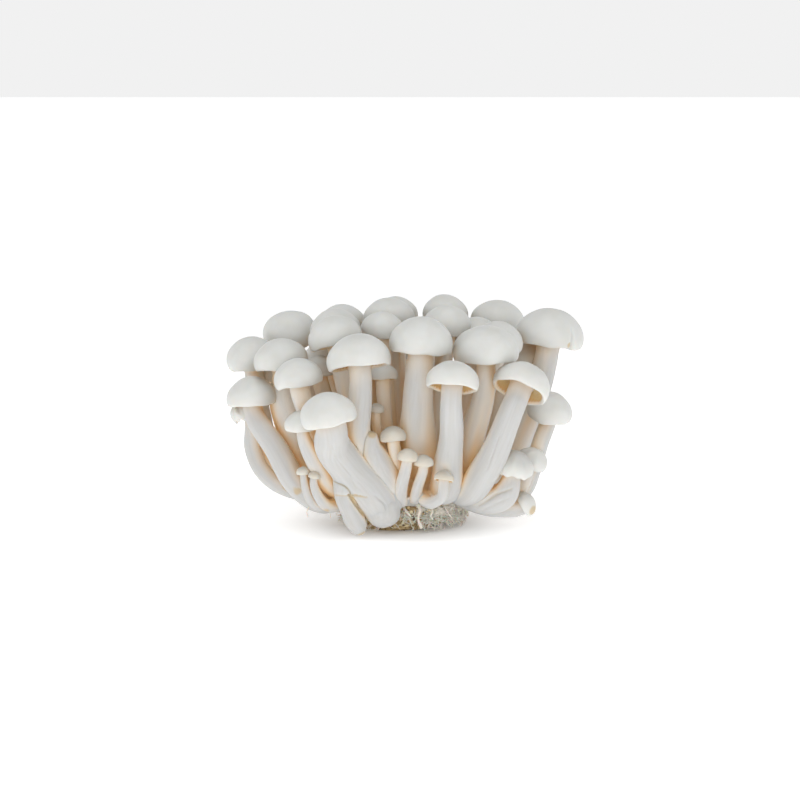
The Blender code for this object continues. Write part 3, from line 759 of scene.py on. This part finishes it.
def mushroom_body(mushroom, seed):
    """A closed body from the foot of the stem to the crown of the cap."""
    turned = Turned()
    line, radius = mushroom.line, mushroom.radius
    start = turned.add_foot(line)
    folded = mushroom.name in FOLDS
    turned.add_stem(line, start, line.length, FINE_RING_STEP if folded else STEM_RING_STEP)
    for share in (0.0, 0.35, 0.7):
        along = line.length + (mushroom.cap_middle - line.length) * share
        turned.add(mushroom.top, along)
    turned.add_cap(radius, mushroom.cap_middle, mushroom.top)
    columns = COLUMNS_PER_GILL * max(FEWEST_GILLS, round(GILLS_PER_MM * radius * 2 / MM))
    work = turned.spun(columns)
    raise_gills(work, columns, GILL_DEPTH * radius)
    name = mushroom.name
    make_uneven(work, seed, mushroom.cap_middle, radius, TORN.get(name, 0.0), NICKS.get(name, ()))
    bend(work, line, seed)
    return work


def drawn_together(stem, growth):
    """The bmesh of a stem and its growth, drawn out to each other above the ledge."""
    stem_tree, growth_tree = BVHTree.FromBMesh(stem), BVHTree.FromBMesh(growth)
    for part, tree in ((stem, growth_tree), (growth, stem_tree)):
        part.normal_update()
        stain_and_shade = part.verts.layers.float["stain_and_shade"]
        for vertex in part.verts:
            near, _, _, away = tree.find_nearest(vertex.co, FILLET_REACH)
            if near:
                share = (1 - away / FILLET_REACH) ** 2
                share *= ease(LEDGE_HEIGHT, LEDGE_HEIGHT + FILLET_STARTS, vertex.co.z)
                vertex.co += vertex.normal * (FILLET * share)
                # Painted shade along the crease where the stem and its growth meet
                vertex[stain_and_shade] = CREASE_PAINTED_SHADE * ease(CREASE_WIDTH, 0, away)
    return joined([stem, growth])


def tear_ledge(work):
    """Sets the front of the stem's foot back below the tear, and paints shade just below its edge."""
    stain_and_shade = work.verts.layers.float["stain_and_shade"]
    for vertex in work.verts:
        x, y, z = vertex.co
        across = ease(LEDGE_LEFT, LEDGE_LEFT + LEDGE_ENDS, x)
        across *= ease(LEDGE_RIGHT, LEDGE_RIGHT - LEDGE_ENDS, x)
        edge = LEDGE_HEIGHT + LEDGE_RAGGED * noise.noise(vertex.co * LEDGE_RAGS_PER_METRE)
        if z < edge and y < LEDGE_BEHIND:
            vertex.co.y += LEDGE_DEPTH * across * ease(edge - LEDGE_FADES, edge, z)
            # Painted shade just below the ledge's edge
            painted_shade = across * ease(edge - LEDGE_SHADE_REACH, edge, z) * FOLD_PAINTED_SHADE
            vertex[stain_and_shade] = max(vertex[stain_and_shade], painted_shade)


def fold(work, half_width, depth, course):
    """Presses a groove along its course into the side of the flesh that faces the front."""
    work.normal_update()
    stain_and_shade = work.verts.layers.float["stain_and_shade"]
    course = [Vector((x, 0, z)) * MM for x, z in course]
    for vertex in work.verts:
        if vertex.normal.y > FOLD_FACES:
            continue
        flat = Vector((vertex.co.x, 0, vertex.co.z))
        away = min(distance_to(flat, a, b) for a, b in zip(course, course[1:]))
        groove = ease(half_width * MM, 0, away)
        vertex.co -= vertex.normal * (depth * MM * groove)
        # Painted shade in the bottom of the groove
        vertex[stain_and_shade] = max(vertex[stain_and_shade], groove * min(1.0, depth) * FOLD_PAINTED_SHADE)


def distance_to(place, a, b):
    """How far a place is from the straight stretch from a to b."""
    way = b - a
    share = (place - a).dot(way) / way.length_squared
    return (place - a - way * max(0.0, min(1.0, share))).length


def growth_body(route, seed, columns=GROWTH_COLUMNS):
    """A finger, stump or rootlet, rounded at both ends."""
    line = line_of(route)
    turned = Turned()
    start = turned.add_foot(line)
    end = line.length - line.radius(line.length) * turned.BLUNTNESS
    turned.add_stem(line, start, end, FINE_RING_STEP)
    turned.add_tip(line)
    work = turned.spun(columns)
    make_uneven(work, seed, line.length * 2, line.length)
    bend(work, line, seed)
    return work


def whole_mushroom(mushroom, seed):
    """A mushroom's body with its growth, its tear and its folds."""
    name = mushroom.name
    work = mushroom_body(mushroom, seed)
    if name in SIDE_GROWTHS:
        work = drawn_together(work, growth_body(SIDE_GROWTHS[name], seed + 0.5))
    if name == TORN_ACROSS:
        tear_ledge(work)
    for course in FOLDS.get(name, ()):
        fold(work, *course)
    return work


class Bunch:
    """The frame's solids, which say where each piece's neighbours are."""

    def __init__(self):
        self.rooms = {}
        all_places, all_faces = [], []
        for name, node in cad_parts.items():
            places = [node.matrix_world @ vertex.co for vertex in node.data.vertices]
            faces = [tuple(face.vertices) for face in node.data.polygons]
            if name.startswith("mushroom_"):
                low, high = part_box(name)
                self.rooms[name] = (BVHTree.FromPolygons(places, faces), Vector(low), Vector(high))
            first = len(all_places)
            all_places += places
            all_faces += [tuple(first + corner for corner in face) for face in faces]
        self.whole = BVHTree.FromPolygons(all_places, all_faces)
        self.ways = [self.spread_way(i) for i in range(SHADE_RAYS)]

    def spread_way(self, i):
        """One of a few directions spread evenly over a ball."""
        z = 1 - (2 * i + 1) / SHADE_RAYS
        a = i * math.pi * (3 - math.sqrt(5))
        flat = math.sqrt(1 - z * z)
        return Vector((flat * math.cos(a), flat * math.sin(a), z)) * SHADE_SPREAD

    def press(self, work, own_node):
        """Moves what is inside a neighbour out to its surface, and what is under the floor up to it."""
        own_low, own_high = (Vector(corner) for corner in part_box(own_node))
        for name, (tree, low, high) in self.rooms.items():
            apart = any(high[i] < own_low[i] or own_high[i] < low[i] for i in range(3))
            if name == own_node or apart:
                continue
            for vertex in work.verts:
                place = vertex.co
                if not all(low[i] < place[i] < high[i] for i in range(3)):
                    continue
                near, normal, _, distance = tree.find_nearest(place, PRESS_MOST)
                if near and (place - near).dot(normal) < -0.5 * distance:
                    vertex.co = near + normal * PRESS_CLEAR
        for vertex in work.verts:
            vertex.co.z = max(0.0, vertex.co.z)

    def shade(self, work, stains=()):
        """Stores how much of the light the neighbours keep from each vertex, and its marks."""
        work.normal_update()
        zones = work.verts.layers.float_vector["zones"]
        stain_and_shade = work.verts.layers.float["stain_and_shade"]
        stains = [(Vector((x, y, z)) * MM, radius * MM) for x, y, z, radius in stains]
        shades = []
        for vertex in work.verts:
            for place, radius in stains:
                mark = ease(radius, STAIN_CORE * radius, (vertex.co - place).length)
                vertex[stain_and_shade] = max(vertex[stain_and_shade], mark)
            start = vertex.co + vertex.normal * SHADE_START
            kept = 0.0
            for way in self.ways:
                hit = self.whole.ray_cast(start, vertex.normal + way, SHADE_REACH)
                if hit[0]:
                    kept += 1 - SHADE_LOST * hit[3] / SHADE_REACH
            shades.append(kept / SHADE_RAYS)
        for vertex, shade in zip(work.verts, smoothed(work, np.array(shades), SHADE_SMOOTHING)):
            cap, gill, _ = vertex[zones]
            vertex[zones] = (cap, gill, shade)


def smoothed(work, values, passes):
    """The vertices' values, each brought so many times to the mean of itself and its neighbours."""
    work.verts.index_update()
    first, second = np.array([[vertex.index for vertex in edge.verts] for edge in work.edges]).T
    count = len(values)
    among = 1 + np.bincount(first, minlength=count) + np.bincount(second, minlength=count)
    for _ in range(passes):
        from_first = np.bincount(second, values[first], count)
        from_second = np.bincount(first, values[second], count)
        values = (values + from_second + from_first) / among
    return values


def voxel_joined(work, size, smoothing):
    """The bmesh as a single skin over all its bodies, with their joints smoothed."""
    mesh = bpy.data.meshes.new("skin")
    work.to_mesh(mesh)
    work.free()
    thing = bpy.data.objects.new("skin", mesh)
    bpy.context.scene.collection.objects.link(thing)
    remesh = thing.modifiers.new("skin", "REMESH")
    remesh.mode = "VOXEL"
    remesh.voxel_size = size
    bpy.context.view_layer.update()
    graph = bpy.context.evaluated_depsgraph_get()
    skin = bmesh.new()
    skin.from_mesh(thing.evaluated_get(graph).data)
    bpy.data.objects.remove(thing)
    for _ in range(smoothing):
        bmesh.ops.smooth_vert(
            skin, verts=skin.verts[:], factor=0.5, use_axis_x=True, use_axis_y=True, use_axis_z=True
        )
    return skin


def foot_body(mushrooms):
    """The dome and a skirt round the foot of each stem, grown together."""
    dome = bmesh.new()
    bmesh.ops.create_uvsphere(dome, u_segments=48, v_segments=24, radius=1.0)
    for vertex in dome.verts:
        height = DOME_HEIGHT if vertex.co.z > 0 else DOME_UNDER
        uneven = 1 + DOME_UNEVEN * noise.noise(vertex.co * DOME_SWELLS)
        flat = vertex.co * (DOME_RADIUS * uneven)
        vertex.co = DOME_CENTRE + Vector((flat.x, flat.y, vertex.co.z * height * uneven))
    parts = [dome]
    for mushroom in mushrooms:
        line = mushroom.line
        reach = min(line.length * SKIRT_SHARE, SKIRT_REACH)
        turned = Turned()
        start = turned.add_foot(line)
        for i in range(SKIRT_RINGS):
            share = i / (SKIRT_RINGS - 1)
            along = start + (reach - start) * share
            turned.add(line.radius(along) * (SKIRT_LOW + (SKIRT_HIGH - SKIRT_LOW) * share), along)
        turned.add(0.0, reach)
        skirt = turned.spun(SKIRT_COLUMNS)
        for vertex in skirt.verts:
            vertex.co = line.carry(vertex.co)
        parts.append(skirt)
    skin = voxel_joined(joined(parts), FOOT_VOXEL, FOOT_SMOOTHING)
    skin.verts.layers.float_vector.new("zones")
    skin.verts.layers.float.new("stain_and_shade")
    grain = skin.verts.layers.float_vector.new("grain")
    for vertex in skin.verts:
        vertex[grain] = vertex.co
        rough = FOOT_ROUGHNESS * noise.noise(vertex.co * FOOT_ROUGH_PER_METRE)
        vertex.co += vertex.normal * rough
    return skin


def plug_body():
    """The sawdust plug: its outline spun, shifted ring by ring and broken up into lumps."""
    turned = Turned()
    turned.add(0.0, 0.0)
    rings = smooth_through([(r, z, x, y) for r, z, x, y in PLUG_RINGS], 6)
    turned.add(rings[0].x * 0.5 * MM, 0.0)
    for ring in rings:
        turned.add(ring.x * MM, ring.y * MM)
    top = rings[-1].y * MM
    for share in (0.9, 0.75, 0.5, 0.25, 0.0):
        turned.add(rings[-1].x * share * MM, top)
    work = turned.spun(PLUG_COLUMNS)
    bmesh.ops.subdivide_edges(work, edges=work.edges[:], cuts=1, use_grid_fill=True)
    for vertex in work.verts:
        nearest = min(rings, key=lambda ring: abs(ring.y * MM - vertex.co.z))
        vertex.co += Vector((nearest.z, nearest.w, 0)) * MM
    work.normal_update()
    fluff = work.verts.layers.float.new("fluff")
    for vertex in work.verts:
        if vertex.co.z > FLAT_BELOW:
            lumps = LUMPS * noise.noise(vertex.co * LUMPS_PER_METRE)
            lumps += GRAINS * abs(noise.noise(vertex.co * GRAINS_PER_METRE)) - LUMPS_SUNK
            vertex.co += vertex.normal * lumps
            vertex[fluff] = fluff_share(vertex.co)
            mat = MAT_THICKNESS
            mat += sum(height * noise.noise(vertex.co * per_metre) for height, per_metre in MAT_LUMPS)
            out = Vector((vertex.co.x, vertex.co.y, 0)).normalized()
            vertex.co += out * (vertex[fluff] * max(0.0, mat) * MM)
            vertex.co.z = max(LUMPS_ABOVE, vertex.co.z)
    return work


def fluff_share(place):
    """How thick the mycelium is at a place on the plug, thickest to the front right."""
    azimuth = math.degrees(math.atan2(place.y, place.x))
    away = abs(azimuth - FLUFF_MIDDLE) / FLUFF_HALF_WIDTH
    away += FLUFF_RAGGED * noise.noise(place * FLUFF_RAGS_PER_METRE)
    low = ease(FLUFF_LOW, FLUFF_HIGH, place.z)
    patch = ease(PATCH_STARTS, PATCH_FULL, noise.noise(place * PATCHES_PER_METRE + PATCHES_PLACE))
    return max(ease(1.0, FLUFF_CORE, away) * low, patch)


def crumb_bodies(draw):
    """Grains of sawdust and bran stuck all over the plug, with a shade of its own for each."""
    crumbs = bmesh.new()
    shade = crumbs.verts.layers.float.new("shade")
    for _ in range(CRUMBS):
        height = draw.uniform(*CRUMB_HEIGHTS)
        rings = [ring for ring in PLUG_RINGS if ring[1] <= height]
        low, high = rings[-1], PLUG_RINGS[len(rings)]
        share = (height - low[1]) / (high[1] - low[1])
        r, z, x, y = (a + (b - a) * share for a, b in zip(low, high))
        a = draw.uniform(0, math.tau)
        place = Vector((x + r * math.cos(a), y + r * math.sin(a), z)) * MM
        size = Vector([draw.uniform(*sizes) for sizes in CRUMB_SIZES]) * MM
        angle = draw.uniform(0, math.tau)
        turn = Matrix.Rotation(angle, 3, Vector(draw.choice(CRUMB_AXES)).normalized())
        made = bmesh.ops.create_icosphere(crumbs, subdivisions=1, radius=1.0)["verts"]
        tone = draw.random()
        for vertex in made:
            ragged = 1 + CRUMB_RAGGED * noise.noise(vertex.co * 2 + place * 900)
            vertex.co = place + turn @ (vertex.co * size * ragged)
            vertex.co.z = max(CRUMB_LOWEST, vertex.co.z)
            vertex[shade] = tone
    return crumbs


def thread_body(start, end, radius, draw):
    """One fine thread of mycelium, bent aside on its way and thinner to its end."""
    bent = Vector((draw.uniform(-1, 1), draw.uniform(-1, 1), draw.uniform(-1, 0.5)))
    middle = (start + end) / 2 + bent * ((end - start).length * THREAD_BENDS)
    middle.z, end.z = max(THREAD_LOWEST, middle.z), max(THREAD_LOWEST, end.z)
    line = Line([(*start, radius), (*middle, radius * 0.7), (*end, radius * 0.2)])
    turned = Turned()
    turned.add(0.0, 0.0)
    for share in (0.0, 0.3, 0.6, 1.0):
        turned.add(line.radius(line.length * share), line.length * share)
    turned.add(0.0, line.length)
    work = turned.spun(THREAD_COLUMNS)
    for vertex in work.verts:
        vertex.co = line.carry(vertex.co)
    return work


def mycelium_body(draw):
    """Fine threads all over the plug, most where it is white, and a few thick rootlets."""
    parts = []
    while len(parts) < THREADS:
        a, height = draw.uniform(-math.pi, math.pi), draw.uniform(*THREAD_HEIGHTS)
        out = Vector((math.cos(a), math.sin(a), 0))
        start = out * THREADS_FROM + Vector((0, 0, height * MM))
        if draw.random() > THREADS_EVEN + fluff_share(start):
            continue
        start += out * THREADS_CLEAR
        way = Vector((-out.y, out.x, 0)) * draw.uniform(-1, 1)
        way += out * draw.uniform(*THREAD_OUTWARD)
        way.z += draw.uniform(*THREAD_UPWARD)
        end = start + way.normalized() * (draw.uniform(*THREAD_LENGTHS) * MM)
        parts.append(thread_body(start, end, draw.uniform(*THREAD_RADII) * MM, draw))
    parts += [growth_body(route, seed, ROOTLET_COLUMNS) for seed, route in enumerate(ROOTLETS)]
    return joined(parts)


class Socket:
    """A value in a material, with the arithmetic that adds its nodes."""

    def __init__(self, recipe, output):
        self.recipe, self.output = recipe, output

    def maths(self, operation, *others):
        values = dict(enumerate((self, *others)))
        return self.recipe.node("ShaderNodeMath", {"operation": operation}, values)

    def reflected(self, operation, other):
        return self.recipe.node("ShaderNodeMath", {"operation": operation}, {0: other, 1: self})

    def __add__(self, other):
        return self.maths("ADD", other)

    def __sub__(self, other):
        return self.maths("SUBTRACT", other)

    def __mul__(self, other):
        return self.maths("MULTIPLY", other)

    def __radd__(self, other):
        return self.reflected("ADD", other)

    def __rsub__(self, other):
        return self.reflected("SUBTRACT", other)

    def __rmul__(self, other):
        return self.reflected("MULTIPLY", other)

    def rising(self, low, high):
        """0 below low, 1 above high and smooth between them."""
        values = {"Value": self, "From Min": low, "From Max": high}
        return self.recipe.node("ShaderNodeMapRange", {"interpolation_type": "SMOOTHSTEP"}, values)


class Recipe:
    """The nodes of a material or a world, to which each call adds one."""

    def __init__(self, owner, shader):
        owner.use_nodes = True
        self.owner, self.tree = owner, owner.node_tree
        self.shader = self.tree.nodes[shader]

    def fill(self, node, values):
        for key, value in values.items():
            if isinstance(value, Socket):
                self.tree.links.new(value.output, node.inputs[key])
            else:
                node.inputs[key].default_value = value

    def node(self, kind, settings, values, output=0):
        """Adds a node with its settings, then its inputs, and gives one of its outputs."""
        made = self.tree.nodes.new(kind)
        for key, value in settings.items():
            setattr(made, key, value)
        self.fill(made, values)
        return Socket(self, made.outputs[output])

    def finish(self, values):
        self.fill(self.shader, values)
        return self.owner

    def attribute(self, name):
        return self.node("ShaderNodeAttribute", {"attribute_name": name}, {}, "Vector")

    def strength(self, name):
        return self.node("ShaderNodeAttribute", {"attribute_name": name}, {}, "Fac")

    def parts(self, vector):
        return [self.node("ShaderNodeSeparateXYZ", {}, {0: vector}, i) for i in range(3)]

    def scaled(self, vector, factors):
        return self.node("ShaderNodeVectorMath", {"operation": "MULTIPLY"}, {0: vector, 1: factors})

    def place(self):
        return self.node("ShaderNodeTexCoord", {}, {}, "Object")

    def noise(self, vector, scale, detail=2.0):
        values = {"Vector": vector, "Scale": scale, "Detail": detail}
        return self.node("ShaderNodeTexNoise", {}, values, 0)

    def cells(self, vector, scale, output):
        values = {"Vector": vector, "Scale": scale}
        return self.node("ShaderNodeTexVoronoi", {}, values, output)

    def mix(self, share, first, second):
        values = {0: share, 6: first, 7: second}
        return self.node("ShaderNodeMix", {"data_type": "RGBA"}, values, 2)

    def bump(self, height, distance, strength=1.0):
        values = {"Height": height, "Distance": distance, "Strength": strength}
        return self.node("ShaderNodeBump", {}, values)


def new_recipe(name):
    return Recipe(bpy.data.materials.new(name), "Principled BSDF")


def flesh_material(name, cap_colour, rim_colour):
    """Satin white flesh: fine fibres along the stems, and painted shade that warms the gills and the
    recesses among the neighbours.
    """
    flesh = new_recipe(name)
    grain = flesh.attribute("grain")
    # inside is the neighbours' shade, which the painted shade below follows
    cap, gill, inside = flesh.parts(flesh.attribute("zones"))
    stain_and_shade = flesh.strength("stain_and_shade")
    fibres = flesh.noise(flesh.scaled(grain, FIBRES_PER_METRE), 1.0, 3.0)
    streaks = flesh.noise(flesh.scaled(grain, STREAKS_PER_METRE), 1.0)
    clouds = flesh.noise(grain, CLOUDS_PER_METRE)
    pores = flesh.noise(grain, PORES_PER_METRE)
    stem = flesh.mix(streaks.rising(0.35, 0.7) * 0.45, STEM_COLOUR, STEM_SHADE)
    dome = flesh.mix(clouds.rising(0.35, 0.75), cap_colour, rim_colour)
    colour = flesh.mix(cap, stem, dome)
    fine = (1 - cap) * fibres.rising(0.45, 0.75) * 0.35
    colour = flesh.mix(fine, colour, STEM_SHADE)
    # Painted shade on stems where the neighbours keep light off: lighter and warmer
    colour = flesh.mix(inside.rising(0.15, 0.55) * (1 - cap), colour, SHADED_COLOUR)
    # Painted shade that darkens caps between their neighbours
    colour = flesh.mix(inside.rising(0.15, 0.6) * cap * 0.6, colour, CAP_PAINTED_SHADE)
    # Painted shade in the deepest recesses: warm orange
    colour = flesh.mix(inside.rising(0.45, 0.95) * (1 - cap * 0.6), colour, RECESS_PAINTED_SHADE)
    # Painted shade under the cap: the gills tinted warm tan
    colour = flesh.mix(gill.rising(0.0, 0.6), colour, GILL_PAINTED_SHADE)
    # Real cut and bruise marks, and painted shade in folds, creases and below the ledge
    colour = flesh.mix((stain_and_shade * (0.5 + clouds)).rising(0.1, 0.9) * 0.75, colour, STAIN_AND_SHADE_COLOUR)
    height = (1 - cap) * fibres * 0.8 + pores * 0.15 + clouds * cap * 0.4
    return flesh.finish({
        "Base Color": colour,
        "Roughness": 0.42 + (1 - cap) * 0.12 + pores * 0.06,
        "Normal": flesh.bump(height, 0.16 * MM, 0.8),
        "Subsurface Weight": 0.5,
        "Subsurface Radius": (1.0, 0.8, 0.62),
        "Subsurface Scale": 2.2 * MM,
        "IOR": 1.4,
        "Sheen Weight": 0.8,
        "Sheen Roughness": 0.15,
    })


def substrate_material():
    """Golden-brown sawdust with dark gaps and a white skin of mycelium in patches."""
    sawdust = new_recipe("substrate")
    place = sawdust.place()
    grains = sawdust.cells(place, SAWDUST_PER_METRE, "Color")
    edges = sawdust.cells(place, SAWDUST_PER_METRE, "Distance")
    red, _, _ = sawdust.parts(grains)
    fluff = sawdust.strength("fluff")
    damp = sawdust.noise(place, 70.0)
    fine = sawdust.noise(place, 1500.0, 3.0)
    colour = sawdust.mix(red, WOOD_DARK, WOOD_PALE)
    colour = sawdust.mix(damp.rising(0.45, 0.7), colour, WOOD_DAMP)
    colour = sawdust.mix((fluff + fine * 0.3 - 0.15).rising(0.3, 0.75), colour, MAT_COLOUR)
    height = edges * -1.0 + fine * 0.4
    return sawdust.finish({
        "Base Color": colour,
        "Roughness": 0.9,
        "Normal": sawdust.bump(height, 0.5 * MM),
    })


def crumb_material():
    """Grains from pale bran to dark wood."""
    grain = new_recipe("crumbs")
    shade = grain.strength("shade")
    colour = grain.mix(shade.rising(0.0, 0.5), CRUMB_DARK, CRUMB_GOLD)
    colour = grain.mix(shade.rising(0.5, 1.0), colour, CRUMB_PALE)
    speckle = grain.noise(grain.place(), 2200.0)
    return grain.finish({
        "Base Color": colour,
        "Roughness": 0.85,
        "Normal": grain.bump(speckle, 0.1 * MM),
    })


def mycelium_material():
    """Off-white threads that some light goes into."""
    fluff = new_recipe("mycelium")
    tint = fluff.noise(fluff.place(), 300.0)
    return fluff.finish({
        "Base Color": fluff.mix(tint, THREAD_COLOUR, THREAD_SHADE),
        "Roughness": 0.8,
        "Subsurface Weight": 0.3,
        "Subsurface Scale": 1.0 * MM,
    })


def set_stage():
    """A white floor that glows just enough to stay white, with the glow fading close round the bunch as
    a painted shadow.
    """
    work = bmesh.new()
    bmesh.ops.create_grid(work, x_segments=1, y_segments=1, size=FLOOR_SIZE)
    mesh = bpy.data.meshes.new("floor")
    work.to_mesh(mesh)
    work.free()
    paper = new_recipe("paper")
    away = paper.node("ShaderNodeVectorMath", {"operation": "LENGTH"}, {0: paper.place()}, "Value")
    # Painted shadow: less glow close round the bunch
    glow = paper.mix(away.rising(GLOW_STARTS, GLOW_FULL), (0, 0, 0, 1), (1, 1, 1, 1))
    mesh.materials.append(paper.finish({
        "Base Color": PAPER_COLOUR,
        "Roughness": 1.0,
        "Specular IOR Level": 0.0,
        "Emission Color": glow,
        "Emission Strength": FLOOR_GLOW,
    }))
    floor = bpy.data.objects.new("floor", mesh)
    bpy.context.scene.collection.objects.link(floor)


def set_world():
    """White light from all round, with less of it from above."""
    studio = Recipe(bpy.data.worlds.new("studio"), "Background")
    way = studio.node("ShaderNodeTexCoord", {}, {}, "Generated")
    height = studio.parts(way)[2]
    overhead = height.rising(HORIZON_ENDS, OVERHEAD_STARTS)
    light = HORIZON_LIGHT - overhead * (HORIZON_LIGHT - OVERHEAD_LIGHT)
    bpy.context.scene.world = studio.finish({"Color": (1, 1, 1, 1), "Strength": light})


def set_light(name, place, size, power, colour):
    """A soft square light at a place, turned to the middle of the bunch."""
    lamp = bpy.data.lights.new(name, "AREA")
    lamp.size, lamp.energy, lamp.color = size, power, colour
    light = bpy.data.objects.new(name, lamp)
    light.location = place
    light.rotation_euler = (CAMERA_TARGET - Vector(place)).to_track_quat("-Z", "Y").to_euler()
    bpy.context.scene.collection.objects.link(light)


def set_camera():
    """The photo's viewpoint, from the front and a little above."""
    camera = bpy.data.objects.new("camera", bpy.data.cameras.new("camera"))
    camera.data.sensor_width, camera.data.lens = CAMERA_SENSOR, CAMERA_LENS
    a = math.radians(CAMERA_ELEVATION)
    camera.location = CAMERA_TARGET + Vector((0, -math.cos(a), math.sin(a))) * CAMERA_DISTANCE
    camera.rotation_euler = (math.radians(90 - CAMERA_ELEVATION), 0, 0)
    bpy.context.scene.collection.objects.link(camera)
    bpy.context.scene.camera = camera
    bpy.context.scene.view_settings.view_transform = "Standard"


def main():
    draw = random.Random(SEED)
    grown = flesh_material("flesh", CAP_COLOUR, CAP_SHADE)
    young = flesh_material("young_flesh", BUTTON_COLOUR, BUTTON_SHADE)
    bunch = Bunch()
    mushrooms, buttons = grown_mushrooms(), [Mushroom(*row) for row in BUTTONS]
    for seed, mushroom in enumerate(mushrooms):
        node = "mushroom_" + mushroom.name
        work = whole_mushroom(mushroom, seed)
        bunch.press(work, node)
        bunch.shade(work, STAINS.get(mushroom.name, ()))
        new_piece("fine_" + mushroom.name, work, node, grown)
    for seed, button in enumerate(buttons, len(mushrooms)):
        work = mushroom_body(button, seed)
        bunch.shade(work, STAINS.get(button.name, ()))
        flesh = grown if button.name == "button_fallen" else young
        new_piece(button.name, work, "fused_foot", flesh)
    foot = foot_body(mushrooms + buttons)
    bunch.shade(foot)
    new_piece("grown_foot", foot, "fused_foot", grown)
    new_piece("plug", plug_body(), "substrate_plug", substrate_material())
    new_piece("crumbs", crumb_bodies(draw), "substrate_plug", crumb_material())
    new_piece("mycelium", mycelium_body(draw), "substrate_plug", mycelium_material())
    set_stage()
    set_world()
    for row in LIGHTS:
        set_light(*row)
    set_camera()


main()
